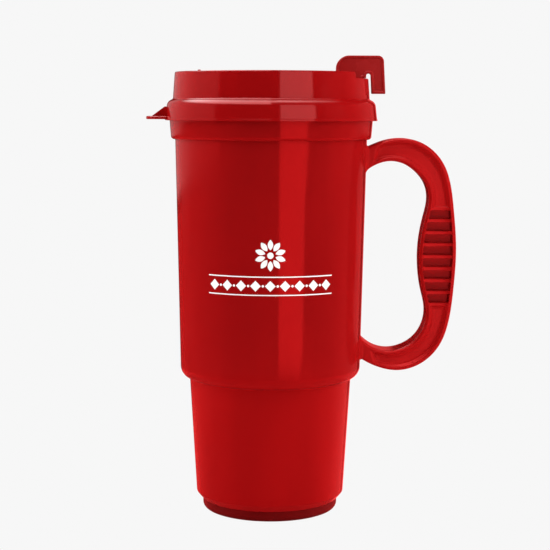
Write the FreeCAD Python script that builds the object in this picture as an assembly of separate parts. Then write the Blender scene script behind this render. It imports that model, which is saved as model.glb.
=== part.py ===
import FreeCAD, Part
import math
import os

from FreeCAD import Vector

# Insulated travel mug with a pressed-on lid and a swivelling drink shutter.
# Millimetres. The origin is on the mug's axis at the face it stands on, +Z is up,
# and the handle points along +X. In every outline r is measured from the axis.

# Body: a wide upper wall, a rounded step, and a narrower taper that drops into a cup holder.
FOOT_RADIUS = 28.8
FOOT_HEIGHT = 4.6
FOOT_ROUNDING = 2.35
TAPER_BOTTOM_Z = 7.5
TAPER_BOTTOM_RADIUS = 31.5
STEP_BOTTOM_Z = 56.9
STEP_BOTTOM_RADIUS = 34.43
STEP_TOP_Z = 58.3
STEP_TOP_RADIUS = 38.27
STEP_ROUNDING = 4.8
BODY_TOP_Z = 169.0
BODY_TOP_RADIUS = 40.68
BODY_WALL = 1.9

# Base cap: a welded disc whose spigot plugs the bottom of the body.
SPIGOT_RADIUS = 27.6
SPIGOT_TOP_Z = 6.5
SPIGOT_WALL = 1.7
BASE_THICKNESS = 2.0
GROOVE_INNER_RADIUS = 9.0
GROOVE_OUTER_RADIUS = 22.0
GROOVE_DEPTH = 1.0

# Inner liner: the drinking cup, turned over at the top into the band below the lid.
LINER_WALL = 1.6
LINER_FLOOR_Z = 11.0
LINER_FLOOR_THICKNESS = 1.8
LINER_FLOOR_RADIUS = 27.0
LINER_FLOOR_ROUNDING = 6.0
LINER_NECK_Z = 156.5
LINER_NECK_RADIUS = 35.2
MOUTH_BOTTOM_Z = 158.3
MOUTH_RADIUS = 36.6
RIM_Z = 171.8
RIM_RADIUS = 42.5
BAND_TOP_Z = 166.2
BAND_TOP_RADIUS = 42.85
BAND_BOTTOM_Z = 158.15
BAND_BOTTOM_RADIUS = 42.15

# Foam: fills the space between body and liner.
FOAM_TOP_Z = 155.5

# Handle: an open loop with recessed sides, a swollen grip and finger ribs.
HANDLE_WIDTH = 14.0
HANDLE_ROUNDING = 1.0
FLANGE_WIDTH = 1.5
WEB_RECESS = 1.1
CELL_RECESS = 4.4
RIB_COUNT = 9
RIB_TOP_Z = 129.4
RIB_PITCH = 5.08
RIB_THICKNESS = 1.6
RIB_RECESS = 0.5
ARM_RECESS_START_X = 43.6
HANDLE_OUTER = [
    (37.0, 153.8), (41.6, 155.5), (46.6, 157.5), (53.6, 158.8), (60.6, 158.0), (68.2, 153.6),
    (72.6, 148.0), (75.2, 141.0), (77.0, 129.5), (78.3, 111.0), (77.5, 96.0), (75.3, 80.3),
    (72.4, 72.3), (67.0, 65.6), (60.6, 61.8), (53.5, 60.5), (46.5, 61.7), (41.4, 63.8), (37.0, 66.4),
]
HANDLE_INNER = [
    (37.0, 142.0), (40.8, 145.8), (45.8, 148.5), (50.0, 149.3), (55.9, 148.1), (61.6, 144.3),
    (65.6, 138.4), (66.4, 132.9), (64.9, 125.1), (63.1, 115.0), (62.9, 104.4), (64.4, 94.0),
    (66.0, 86.1), (65.0, 79.4), (61.6, 73.9), (56.1, 70.2), (49.5, 68.9), (42.9, 70.7), (37.0, 75.6),
]

# Lid: a skirt over the rim, a raised ring with the deck inside it, and a plug in the mouth.
LID_TOP_Z = 186.1
RING_TOP_RADIUS = 40.55
RING_FOOT_Z = 174.9
RING_FOOT_RADIUS = 41.37
SHOULDER_Z = 173.7
SHOULDER_RADIUS = 43.78
SHOULDER_ROUNDING = 3.0
SKIRT_BORE_TOP_Z = 171.55
SKIRT_Z = 166.4
SKIRT_RADIUS = 44.5
SKIRT_BORE_RADIUS = 42.85
DECK_Z = 181.7
DECK_THICKNESS = 1.8
DECK_RADIUS = 38.75
LID_WALL = 1.7
PLUG_Z = 159.6
PLUG_RADIUS = 36.3
PLUG_BORE_RADIUS = 34.0
SEAL_BOTTOM_Z = 164.2
SEAL_TOP_Z = 167.2
SEAL_GROOVE_RADIUS = 35.4
SEAL_RADIUS = 36.5
SEAL_PLAY = 0.05
NOTCH_HALF_ANGLE = 32.5
NOTCH_Z = 183.6
TAB_TIP_X = -52.4
TAB_WIDTH = 20.0
TAB_THICKNESS = 1.3
TAB_ROUNDING = 5.0
GUSSET_TIP_X = -50.0
GUSSET_TOP_Z = 171.7
GUSSET_THICKNESS = 1.2
GUSSET_SPACING = 6.5
PIP_RADIUS = 0.5
PIP_HEIGHT = 0.4
PIP_ANGLE = -137.0

# Swivel shutter: a disc on the deck with a thumb fin that straddles the ring in its notch.
SHUTTER_GAP = 0.3
SHUTTER_THICKNESS = 1.3
SHUTTER_RADIUS = 38.35
SHUTTER_BORDER_WIDTH = 1.8
SHUTTER_BORDER_HEIGHT = 0.4
SWIVEL_ANGLE = 28.0
SIP_RADIUS = 30.5
SIP_WIDTH = 6.0
SIP_HALF_ANGLE = 11.0
VENT_RADIUS = 1.25
VENT_DISTANCE = 22.0
FIN_THICKNESS = 2.8
FIN_PANEL_DEPTH = 0.35
FIN_BORDER_WIDTH = 1.1
FIN_TOP_Z = 193.3
FIN_BOTTOM_Z = 177.3
FIN_INNER_X = 27.1
FIN_OUTER_TOP_X = 47.1
FIN_OUTER_BOTTOM_X = 48.0
LEG_BOTTOM_X = 42.1
SLOT_OUTER_X = 41.65
SLOT_INNER_X = 39.8
SLOT_TOP_Z = 185.75
NECK_Z = 183.9
NECK_X = 38.3

# Pivot rivet: holds the shutter on the deck.
RIVET_RADIUS = 2.5
RIVET_PLAY = 0.08
RIVET_HEAD_RADIUS = 5.0
RIVET_HEAD_TOP_Z = 184.7
RIVET_FLANGE_RADIUS = 4.5
RIVET_FLANGE_THICKNESS = 1.5

AXIS = Vector(0, 0, 1)
CENTRE = Vector(0, 0, 0)


def rounded_outline(corners):
    """Closed wire in the XZ plane through corners (r, z, radius), each rounded by a tangent arc."""
    points = [Vector(corner[0], 0, corner[1]) for corner in corners]
    runs = []
    edges = []
    for index, corner in enumerate(corners):
        here = points[index]
        radius = corner[2]
        if radius == 0:
            runs.append((here, here))
            continue
        back = (points[index - 1] - here).normalize()
        ahead = (points[(index + 1) % len(points)] - here).normalize()
        half_angle = back.getAngle(ahead) / 2
        setback = radius / math.tan(half_angle)
        bisector = (back + ahead).normalize()
        nearest = here + bisector * (radius / math.sin(half_angle) - radius)
        start = here + back * setback
        end = here + ahead * setback
        runs.append((start, end))
        edges.append(Part.Arc(start, nearest, end).toShape())
    for index, run in enumerate(runs):
        edges.append(Part.makeLine(run[1], runs[(index + 1) % len(runs)][0]))
    return Part.Wire(Part.__sortEdges__(edges))


def turned(corners, angle=360):
    """Solid of revolution about the mug's axis."""
    return Part.Face(rounded_outline(corners)).revolve(CENTRE, AXIS, angle)


def plate(wire, low_y, high_y):
    """Slab between two Y levels, from a closed wire in the XZ plane."""
    slab = Part.Face(wire).extrude(Vector(0, high_y - low_y, 0))
    slab.translate(Vector(0, low_y, 0))
    return slab


def between(z, low, high):
    """Radius at height z on the straight wall through low and high, each (z, radius)."""
    share = (z - low[0]) / (high[0] - low[0])
    return low[1] + share * (high[1] - low[1])


def upper_wall(z):
    """Outside radius of the body's upper wall."""
    return between(z, (STEP_TOP_Z, STEP_TOP_RADIUS), (BODY_TOP_Z, BODY_TOP_RADIUS))


def lower_wall(z):
    """Outside radius of the body's lower taper."""
    return between(z, (TAPER_BOTTOM_Z, TAPER_BOTTOM_RADIUS), (STEP_BOTTOM_Z, STEP_BOTTOM_RADIUS))


def liner_outside(z):
    """Outside radius of the liner's taper."""
    inside = between(z, (LINER_FLOOR_Z, LINER_FLOOR_RADIUS), (LINER_NECK_Z, LINER_NECK_RADIUS))
    return inside + LINER_WALL


def ring_wall(z):
    """Outside radius of the lid's raised ring."""
    return between(z, (RING_FOOT_Z, RING_FOOT_RADIUS), (LID_TOP_Z, RING_TOP_RADIUS))


def body_outside():
    """Corners of the body's outside, from the foot up."""
    return [
        (FOOT_RADIUS + 0.25, FOOT_HEIGHT, 0.4),
        (TAPER_BOTTOM_RADIUS, TAPER_BOTTOM_Z, 1.0),
        (STEP_BOTTOM_RADIUS, STEP_BOTTOM_Z, 0.8),
        (STEP_TOP_RADIUS, STEP_TOP_Z, STEP_ROUNDING),
        (BODY_TOP_RADIUS, BODY_TOP_Z, 0),
    ]


def body_inside(top_z):
    """Corners of the body's inside, from the spigot up to top_z."""
    corner_z = SPIGOT_TOP_Z + 3.0
    step_z = STEP_TOP_Z + BODY_WALL
    return [
        (SPIGOT_RADIUS, corner_z - 2.0, 0),
        (lower_wall(corner_z) - BODY_WALL, corner_z, 0),
        (lower_wall(STEP_BOTTOM_Z) - BODY_WALL, STEP_BOTTOM_Z + BODY_WALL, 1.0),
        (upper_wall(step_z) - BODY_WALL, step_z, STEP_ROUNDING - BODY_WALL),
        (upper_wall(top_z) - BODY_WALL, top_z, 0),
    ]


def outer_shell():
    """Stepped outer wall, open at both ends."""
    inside = [(SPIGOT_RADIUS, FOOT_HEIGHT, 0)] + body_inside(BODY_TOP_Z)
    return turned(body_outside() + inside[::-1])


def base_cap():
    """Foot disc with a shallow ring groove below and a spigot above."""
    spigot_bore = SPIGOT_RADIUS - SPIGOT_WALL
    return turned([
        (0, 0, 0),
        (GROOVE_INNER_RADIUS, 0, 0.3),
        (GROOVE_INNER_RADIUS + GROOVE_DEPTH, GROOVE_DEPTH, 0.3),
        (GROOVE_OUTER_RADIUS - GROOVE_DEPTH, GROOVE_DEPTH, 0.3),
        (GROOVE_OUTER_RADIUS, 0, 0.3),
        (FOOT_RADIUS, 0, FOOT_ROUNDING),
        (FOOT_RADIUS, FOOT_HEIGHT, 0),
        (SPIGOT_RADIUS, FOOT_HEIGHT, 0),
        (SPIGOT_RADIUS, SPIGOT_TOP_Z, 0.2),
        (spigot_bore, SPIGOT_TOP_Z, 0.2),
        (spigot_bore, BASE_THICKNESS, 0.6),
        (0, BASE_THICKNESS, 0),
    ])


def liner_floor_corners():
    """Corners of the liner's outside, from the neck down to the middle of the floor."""
    floor_z = LINER_FLOOR_Z - LINER_FLOOR_THICKNESS
    rounding = LINER_FLOOR_ROUNDING + LINER_WALL
    return [(liner_outside(floor_z), floor_z, rounding), (0, floor_z, 0)]


def inner_liner():
    """Drinking cup with its rim turned over the top of the outer shell."""
    mouth_outside = MOUTH_RADIUS + LINER_WALL
    neck_z = LINER_NECK_Z - 0.4
    return turned([
        (0, LINER_FLOOR_Z, 0),
        (LINER_FLOOR_RADIUS, LINER_FLOOR_Z, LINER_FLOOR_ROUNDING),
        (LINER_NECK_RADIUS, LINER_NECK_Z, 1.0),
        (MOUTH_RADIUS, MOUTH_BOTTOM_Z, 1.0),
        (MOUTH_RADIUS, RIM_Z, 0.8),
        (RIM_RADIUS, RIM_Z, 1.0),
        (RIM_RADIUS, BAND_TOP_Z + 0.4, 0),
        (BAND_TOP_RADIUS, BAND_TOP_Z, 0.2),
        (BAND_BOTTOM_RADIUS, BAND_BOTTOM_Z, 1.3),
        (upper_wall(BAND_BOTTOM_Z), BAND_BOTTOM_Z, 0),
        (BODY_TOP_RADIUS, BODY_TOP_Z, 0),
        (mouth_outside, BODY_TOP_Z, 0),
        (mouth_outside, MOUTH_BOTTOM_Z - 0.3, 1.0),
        (liner_outside(neck_z), neck_z, 1.0),
    ] + liner_floor_corners())


def foam_insulation():
    """Foam sleeve and puck between the outer shell and the liner."""
    below = [(0, SPIGOT_TOP_Z, 0), (SPIGOT_RADIUS, SPIGOT_TOP_Z, 0)]
    top = [(liner_outside(FOAM_TOP_Z), FOAM_TOP_Z, 0)]
    return turned(below + body_inside(FOAM_TOP_Z) + top + liner_floor_corners())


def spline(points):
    """Smooth curve in the XZ plane through (x, z) points."""
    curve = Part.BSplineCurve()
    curve.interpolate([Vector(x, 0, z) for x, z in points])
    return curve


def inset_spline(points, distance):
    """Smooth curve at a distance to the right of the spline through the points."""
    curve = spline(points)
    moved = []
    for x, z in points:
        tangent = curve.tangent(curve.parameter(Vector(x, 0, z)))[0]
        moved.append((x + tangent.z * distance, z - tangent.x * distance))
    return spline(moved)


def loop_wire(outer, inner):
    """Closed wire of two side curves, joined by straight ends."""
    outer_edge = outer.toShape()
    inner_edge = inner.toShape()
    ends = [
        Part.makeLine(outer.StartPoint, inner.StartPoint),
        Part.makeLine(outer.EndPoint, inner.EndPoint),
    ]
    return Part.Wire(Part.__sortEdges__([outer_edge, inner_edge] + ends))


def side_recess(low_y, high_y):
    """Cutter between the handle's flanges, from just clear of the body outwards."""
    outer = inset_spline(HANDLE_OUTER, FLANGE_WIDTH)
    inner = inset_spline(HANDLE_INNER, -FLANGE_WIDTH)
    reach = Part.makeBox(50, high_y - low_y, BODY_TOP_Z, Vector(ARM_RECESS_START_X, low_y, 0))
    return plate(loop_wire(outer, inner), low_y, high_y).common(reach)


def rib_cells(low_y, high_y):
    """Cutters for the deeper cells between one finger rib and the next."""
    recess = side_recess(low_y, high_y)
    height = RIB_PITCH - RIB_THICKNESS
    cells = []
    for index in range(RIB_COUNT - 1):
        low_z = RIB_TOP_Z - index * RIB_PITCH - RIB_THICKNESS / 2 - height
        slab = Part.makeBox(50, high_y - low_y, height, Vector(ARM_RECESS_START_X, low_y, low_z))
        cells.append(recess.common(slab))
    return cells


def ribs(low_y, high_y):
    """Finger ribs that stand on the web between the flanges."""
    recess = side_recess(low_y, high_y)
    bars = []
    for index in range(RIB_COUNT):
        low_z = RIB_TOP_Z - index * RIB_PITCH - RIB_THICKNESS / 2
        slab = Part.makeBox(50, high_y - low_y, RIB_THICKNESS, Vector(ARM_RECESS_START_X, low_y, low_z))
        bars.append(recess.common(slab))
    return bars


def handle():
    """Loop handle whose two pads sit face to face on the outer shell."""
    half = HANDLE_WIDTH / 2
    web = half - WEB_RECESS
    floor = half - CELL_RECESS
    crest = half - RIB_RECESS
    loop = plate(loop_wire(spline(HANDLE_OUTER), spline(HANDLE_INNER)), -half, half)
    long_edges = [edge for edge in loop.Edges if edge.Length > 100]
    loop = loop.makeFillet(HANDLE_ROUNDING, long_edges)
    cutters = [side_recess(web, half + 1), side_recess(-half - 1, -web)]
    cutters += rib_cells(floor, half) + rib_cells(-half, -floor)
    body = [(0, FOOT_HEIGHT, 0)] + body_outside() + [(0, BODY_TOP_Z, 0)]
    bars = ribs(web - 0.1, crest) + ribs(-crest, 0.1 - web)
    return loop.cut(cutters).fuse(bars).cut(turned(body)).removeSplitter()


def kidney(radius, angle, low_z, high_z):
    """Curved slot cutter, centred on the given radius and angle in degrees."""
    half_width = SIP_WIDTH / 2
    sweep = SIP_HALF_ANGLE - math.degrees(half_width / radius)
    section = [
        (radius - half_width, low_z, 0),
        (radius + half_width, low_z, 0),
        (radius + half_width, high_z, 0),
        (radius - half_width, high_z, 0),
    ]
    slot = turned(section, 2 * sweep)
    slot.rotate(CENTRE, AXIS, -sweep)
    for end in (-sweep, sweep):
        foot = Vector(radius * math.cos(math.radians(end)), radius * math.sin(math.radians(end)), low_z)
        slot = slot.fuse(Part.makeCylinder(half_width, high_z - low_z, foot))
    slot.rotate(CENTRE, AXIS, angle)
    return slot


def vent(angle, low_z, high_z):
    """Round vent cutter at the given angle in degrees."""
    turn = math.radians(angle)
    foot = Vector(VENT_DISTANCE * math.cos(turn), VENT_DISTANCE * math.sin(turn), low_z)
    return Part.makeCylinder(VENT_RADIUS, high_z - low_z, foot)


def lid_blank():
    """Lid as turned: ring, deck, shoulder, skirt, and plug with its seal groove."""
    deck_under_z = DECK_Z - DECK_THICKNESS
    ring_bore_z = RING_FOOT_Z - 0.6
    return turned([
        (DECK_RADIUS, LID_TOP_Z, 0.4),
        (RING_TOP_RADIUS, LID_TOP_Z, 0.5),
        (RING_FOOT_RADIUS, RING_FOOT_Z, 0.7),
        (SHOULDER_RADIUS, SHOULDER_Z, SHOULDER_ROUNDING),
        (SKIRT_RADIUS, SKIRT_Z, 0.5),
        (SKIRT_BORE_RADIUS, SKIRT_Z, 0.3),
        (SKIRT_BORE_RADIUS, SKIRT_BORE_TOP_Z, 0.4),
        (ring_wall(ring_bore_z) - LID_WALL, ring_bore_z, 0.6),
        (ring_wall(deck_under_z) - LID_WALL, deck_under_z, 0.6),
        (PLUG_RADIUS, deck_under_z, 0.4),
        (PLUG_RADIUS, SEAL_TOP_Z, 0),
        (SEAL_GROOVE_RADIUS, SEAL_TOP_Z, 0),
        (SEAL_GROOVE_RADIUS, SEAL_BOTTOM_Z, 0),
        (PLUG_RADIUS, SEAL_BOTTOM_Z, 0),
        (PLUG_RADIUS, PLUG_Z + 1.0, 0.3),
        (PLUG_RADIUS - 0.7, PLUG_Z, 0.3),
        (PLUG_BORE_RADIUS, PLUG_Z, 0.3),
        (PLUG_BORE_RADIUS, deck_under_z, 0.8),
        (0, deck_under_z, 0),
        (0, DECK_Z, 0),
        (DECK_RADIUS, DECK_Z, 0.4),
    ])


def rim_notch():
    """Cutter for the stretch of rim that the thumb fin swings through."""
    notch = turned([
        (DECK_RADIUS - 0.6, NOTCH_Z, 0),
        (SKIRT_RADIUS, NOTCH_Z, 0),
        (SKIRT_RADIUS, LID_TOP_Z + 2, 0),
        (DECK_RADIUS - 0.6, LID_TOP_Z + 2, 0),
    ], 2 * NOTCH_HALF_ANGLE)
    notch.rotate(CENTRE, AXIS, -NOTCH_HALF_ANGLE)
    return notch


def pull_tab():
    """Flat tongue opposite the handle, with triangular gussets up the skirt."""
    root_x = -SKIRT_BORE_RADIUS + 2
    half = TAB_WIDTH / 2
    outline = rounded_outline([
        (root_x, -half, 0), (TAB_TIP_X, -half, TAB_ROUNDING),
        (TAB_TIP_X, half, TAB_ROUNDING), (root_x, half, 0),
    ])
    tongue = Part.Face(outline).extrude(Vector(0, -TAB_THICKNESS, 0))
    tongue.rotate(CENTRE, Vector(1, 0, 0), -90)
    tongue.translate(Vector(0, 0, SKIRT_Z + TAB_THICKNESS - tongue.BoundBox.ZMax))
    for row in (-1, 0, 1):
        middle = row * GUSSET_SPACING
        gusset = rounded_outline([
            (root_x, SKIRT_Z + TAB_THICKNESS / 2, 0),
            (GUSSET_TIP_X, SKIRT_Z + TAB_THICKNESS / 2, 0),
            (GUSSET_TIP_X, SKIRT_Z + TAB_THICKNESS, 0),
            (-SKIRT_RADIUS, GUSSET_TOP_Z, 0),
            (root_x, GUSSET_TOP_Z, 0),
        ])
        tongue = tongue.fuse(plate(gusset, middle - GUSSET_THICKNESS / 2, middle + GUSSET_THICKNESS / 2))
    core_radius = SKIRT_BORE_RADIUS + 0.5
    return tongue.cut(Part.makeCylinder(core_radius, LID_TOP_Z - PLUG_Z, Vector(0, 0, PLUG_Z)))


def stop_pip():
    """Small raised pip on the rim."""
    radius = (DECK_RADIUS + RING_TOP_RADIUS) / 2
    turn = math.radians(PIP_ANGLE)
    foot = Vector(radius * math.cos(turn), radius * math.sin(turn), LID_TOP_Z - PIP_HEIGHT)
    return Part.makeCylinder(PIP_RADIUS, 2 * PIP_HEIGHT, foot)


def lid_body():
    """Lid with its notch, pull tab, sip hole, vent hole and pivot hole."""
    low_z = DECK_Z - DECK_THICKNESS - 0.5
    high_z = DECK_Z + 0.5
    lid = lid_blank().fuse([pull_tab(), stop_pip()])
    pivot_hole = Part.makeCylinder(RIVET_RADIUS, high_z - low_z, Vector(0, 0, low_z))
    return lid.cut([
        rim_notch(), kidney(SIP_RADIUS, 180, low_z, high_z), vent(0, low_z, high_z), pivot_hole])


def lid_seal():
    """Soft ring in the plug's groove, with a lip that wipes the liner's mouth."""
    low_z = SEAL_BOTTOM_Z + SEAL_PLAY
    high_z = SEAL_TOP_Z - SEAL_PLAY
    back = SEAL_RADIUS - 0.4
    return turned([
        (SEAL_GROOVE_RADIUS, low_z, 0),
        (back, low_z, 0.2),
        (SEAL_RADIUS, (low_z + high_z) / 2, 0.4),
        (back, high_z, 0.2),
        (SEAL_GROOVE_RADIUS, high_z, 0),
    ])


def shutter_disc():
    """Shutter disc with a raised border, bored to turn on the rivet."""
    low_z = DECK_Z + SHUTTER_GAP
    top_z = low_z + SHUTTER_THICKNESS
    border_z = top_z + SHUTTER_BORDER_HEIGHT
    border_radius = SHUTTER_RADIUS - SHUTTER_BORDER_WIDTH
    disc = turned([
        (RIVET_RADIUS + RIVET_PLAY, low_z, 0),
        (SHUTTER_RADIUS, low_z, 0.3),
        (SHUTTER_RADIUS, border_z, 0.3),
        (border_radius, border_z, 0.2),
        (border_radius, top_z, 0.2),
        (RIVET_RADIUS + RIVET_PLAY, top_z, 0),
    ])
    cutters = []
    for turn in (-SWIVEL_ANGLE, SWIVEL_ANGLE):
        cutters.append(kidney(SIP_RADIUS, 180 + turn, low_z - 1, border_z + 1))
        cutters.append(vent(turn, low_z - 1, border_z + 1))
    return disc.cut(cutters)


def thumb_fin():
    """Upright plate that steps over the ring, with a recessed panel on each side."""
    outline = rounded_outline([
        (FIN_INNER_X, DECK_Z + SHUTTER_GAP, 0),
        (FIN_INNER_X, FIN_TOP_Z, 5.5),
        (FIN_OUTER_TOP_X, FIN_TOP_Z, 2.5),
        (FIN_OUTER_BOTTOM_X, FIN_BOTTOM_Z, 0.3),
        (LEG_BOTTOM_X, FIN_BOTTOM_Z, 0.3),
        (SLOT_OUTER_X, SLOT_TOP_Z, 0.88),
        (SLOT_INNER_X, SLOT_TOP_Z, 0.88),
        (SLOT_INNER_X, NECK_Z, 0.2),
        (NECK_X, NECK_Z, 0.2),
        (NECK_X, DECK_Z + SHUTTER_GAP, 0),
    ])
    panel = outline.makeOffset2D(-FIN_BORDER_WIDTH)
    half = FIN_THICKNESS / 2
    fin = plate(outline, -half, half)
    floor = half - FIN_PANEL_DEPTH
    return fin.cut([plate(panel, floor, half + 1), plate(panel, -half - 1, -floor)])


def swivel_shutter():
    """Shutter disc and thumb fin, moulded in one."""
    return shutter_disc().fuse(thumb_fin())


def shutter_rivet():
    """Domed rivet through deck and shutter, flanged below the deck."""
    deck_under_z = DECK_Z - DECK_THICKNESS
    head_z = DECK_Z + SHUTTER_GAP + SHUTTER_THICKNESS + SHUTTER_GAP
    return turned([
        (0, deck_under_z - RIVET_FLANGE_THICKNESS, 0),
        (RIVET_FLANGE_RADIUS, deck_under_z - RIVET_FLANGE_THICKNESS, 0.4),
        (RIVET_FLANGE_RADIUS, deck_under_z, 0),
        (RIVET_RADIUS, deck_under_z, 0),
        (RIVET_RADIUS, head_z, 0),
        (RIVET_HEAD_RADIUS, head_z, 0.2),
        (RIVET_HEAD_RADIUS - 0.8, RIVET_HEAD_TOP_Z, 0.8),
        (0, RIVET_HEAD_TOP_Z, 0),
    ])


NODES = [
    outer_shell, base_cap, inner_liner, foam_insulation, handle,
    lid_body, lid_seal, shutter_rivet, swivel_shutter,
]


def main():
    """Write one STEP file per piece."""
    os.makedirs("parts", exist_ok=True)
    for make in NODES:
        shape = make()
        solid = shape.Solids[0]
        print(make.__name__, len(shape.Solids), shape.isValid(), round(solid.Volume), solid.BoundBox)
        solid.exportStep(os.path.join("parts", make.__name__ + ".step"))


main()
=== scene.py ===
"""Insulated travel mug: its visible surfaces and finishes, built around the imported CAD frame.

Every length is in metres and every angle in degrees. The mug's axis is Z, the floor is z = 0 and the
handle points along +X. Radii are measured from the axis.
"""

import logging
import math
from dataclasses import dataclass, field
from enum import Enum

import bmesh
import bpy
import numpy as np
from mathutils import Matrix, Vector


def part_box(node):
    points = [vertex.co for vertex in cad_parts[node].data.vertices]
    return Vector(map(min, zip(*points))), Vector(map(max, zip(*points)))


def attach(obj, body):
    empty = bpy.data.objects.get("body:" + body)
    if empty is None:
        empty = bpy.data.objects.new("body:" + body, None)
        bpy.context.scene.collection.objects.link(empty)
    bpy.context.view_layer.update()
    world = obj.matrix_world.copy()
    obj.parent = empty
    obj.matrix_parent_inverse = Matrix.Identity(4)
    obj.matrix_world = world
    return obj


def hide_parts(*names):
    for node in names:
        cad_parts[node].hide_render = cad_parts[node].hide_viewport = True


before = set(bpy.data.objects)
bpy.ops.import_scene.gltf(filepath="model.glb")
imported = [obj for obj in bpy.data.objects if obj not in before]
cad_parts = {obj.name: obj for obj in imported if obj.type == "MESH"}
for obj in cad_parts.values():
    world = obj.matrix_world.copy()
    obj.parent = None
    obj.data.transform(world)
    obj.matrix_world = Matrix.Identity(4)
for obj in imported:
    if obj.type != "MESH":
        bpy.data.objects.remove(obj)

LOG = logging.getLogger("travel_mug")
MERGE_DISTANCE = 1e-6
DEGENERATE_LENGTH = 1e-7
SHARP_ANGLE = 38.0
Pair = tuple[float, float]
Triple = tuple[float, float, float]


class Body(Enum):
    """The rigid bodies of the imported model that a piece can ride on."""

    MUG = "mug"
    LID = "lid"
    SHUTTER = "shutter"


# ---------------------------------------------------------------------------------------------
# Curves and surfaces
# ---------------------------------------------------------------------------------------------


def unit(vectors: np.ndarray) -> np.ndarray:
    """Scale each row to length one."""
    return vectors / np.linalg.norm(vectors, axis=-1, keepdims=True)


def smoothstep(value: np.ndarray | float, low: float, high: float) -> np.ndarray:
    """Rise smoothly from 0 to 1, as t * t * (3 - 2 * t).

    Args:
        value: where to look, as a number or an array.
        low: where the rise starts.
        high: where it ends.

    Returns:
        The share risen at each value.
    """
    t = np.clip((np.asarray(value) - low) / (high - low), 0.0, 1.0)
    return t * t * (3.0 - 2.0 * t)


@dataclass
class Outline:
    """A polygon whose corners are rounded by tangent arcs.

    Each corner is (a, b, radius). An arc's centre lies on the corner's bisector, radius / sin(half)
    away, where half is half the corner's angle. The straight runs get points crowded towards their
    ends, at (1 - cos(pi * t)) / 2, so that a long wall keeps its true normals beside a small arc.
    """

    corners: list[Triple]
    closed: bool = True
    arc_points: int = 7
    spacing: float = 0.004
    run_counts: np.ndarray | None = None
    least_radius: float = 0.00005

    def arcs(self) -> np.ndarray:
        """Work out the rounded corners.

        Returns:
            An array of shape (corner, arc point, 2).
        """
        table = np.array(self.corners, float)
        point, radius = table[:, :2], table[:, 2:]
        back = unit(np.roll(point, 1, axis=0) - point)
        ahead = unit(np.roll(point, -1, axis=0) - point)
        half = np.arccos(np.clip((back * ahead).sum(1), -1.0, 1.0))[:, None] / 2.0
        towards = -unit(back + ahead)
        across = (back + np.cos(half) * towards) / np.sin(half)
        centre = point - towards * radius / np.sin(half)
        sweep = (math.pi / 2.0 - half) * np.linspace(1.0, -1.0, self.arc_points)
        turn = np.cos(sweep)[:, :, None] * towards[:, None] + np.sin(sweep)[:, :, None] * across[:, None]
        return centre[:, None] + radius[:, None] * turn

    def points(self) -> np.ndarray:
        """Join the arcs by straight runs.

        Returns:
            An array of shape (point, 2), in the corners' order.
        """
        arcs = self.arcs()
        if not self.closed:
            ends = np.array([self.corners[0][:2], self.corners[-1][:2]])
            arcs[0], arcs[-1] = ends[0], ends[1]
        starts, ends = arcs[:, -1], np.roll(arcs[:, 0], -1, axis=0)
        if self.run_counts is None:
            lengths = np.linalg.norm(ends - starts, axis=1)
            self.run_counts = np.ceil(lengths / self.spacing).astype(int) + 1
        parts = []
        for index, arc in enumerate(arcs):
            parts.append(arc)
            if index < len(arcs) - 1 or self.closed:
                share = np.arange(1, self.run_counts[index] + 1) / (self.run_counts[index] + 1)
                share = ((1.0 - np.cos(math.pi * share)) / 2.0)[:, None]
                parts.append(starts[index] * (1.0 - share) + ends[index] * share)
        return np.concatenate(parts)

    def inset(self, distance: float) -> "Outline":
        """The same outline moved inwards, with as many points.

        Each side moves by the distance along its inward normal, each new corner is where the moved
        sides meet, and a convex corner's radius shrinks by what a hollow one's grows.

        Args:
            distance: how far each side moves.

        Returns:
            The inset outline.
        """
        self.points()
        table = np.array(self.corners, float)
        point = table[:, :2]
        side = unit(np.roll(point, -1, axis=0) - point)
        area = (point[:, 0] * np.roll(point[:, 1], -1) - point[:, 1] * np.roll(point[:, 0], -1)).sum()
        hand = 1.0 if area > 0 else -1.0
        normal = hand * np.stack([-side[:, 1], side[:, 0]], axis=1)
        before = np.roll(normal, 1, axis=0)
        mitre = (before + normal) / (1.0 + (before * normal).sum(1, keepdims=True))
        previous = np.roll(side, 1, axis=0)
        bend = hand * (previous[:, 0] * side[:, 1] - previous[:, 1] * side[:, 0])
        radius = np.maximum(table[:, 2] - np.sign(bend) * distance, self.least_radius)
        moved = np.column_stack([point + mitre * distance, radius])
        return Outline([tuple(row) for row in moved], self.closed, self.arc_points,
                       self.spacing, self.run_counts)


def smooth_curve(points: np.ndarray, count: int) -> np.ndarray:
    """Carry a natural cubic spline through points, with chord length as its parameter.

    The second derivatives m solve h0 * m0 + 2 * (h0 + h1) * m1 + h1 * m2 = 6 * (slope1 - slope0)
    at each inner point, and are nought at both ends.

    Args:
        points: the points to pass through, of shape (point, 2).
        count: how many samples to return.

    Returns:
        Evenly spread samples of shape (count, 2).
    """
    chord = np.linalg.norm(np.diff(points, axis=0), axis=1)
    knot = np.concatenate([[0.0], np.cumsum(chord)])
    slope = np.diff(points, axis=0) / chord[:, None]
    size = len(points)
    matrix = np.eye(size)
    inner = np.arange(1, size - 1)
    matrix[inner, inner - 1] = chord[:-1]
    matrix[inner, inner] = 2.0 * (chord[:-1] + chord[1:])
    matrix[inner, inner + 1] = chord[1:]
    right = np.zeros_like(points)
    right[1:-1] = 6.0 * np.diff(slope, axis=0)
    bend = np.linalg.solve(matrix, right)
    place = np.linspace(0.0, knot[-1], count)
    span = np.clip(np.searchsorted(knot, place, side="right") - 1, 0, size - 2)
    length = chord[span][:, None]
    far = ((place - knot[span])[:, None]) / length
    near = 1.0 - far
    cubic = (near ** 3 - near) * bend[span] + (far ** 3 - far) * bend[span + 1]
    return near * points[span] + far * points[span + 1] + cubic * length ** 2 / 6.0


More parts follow.
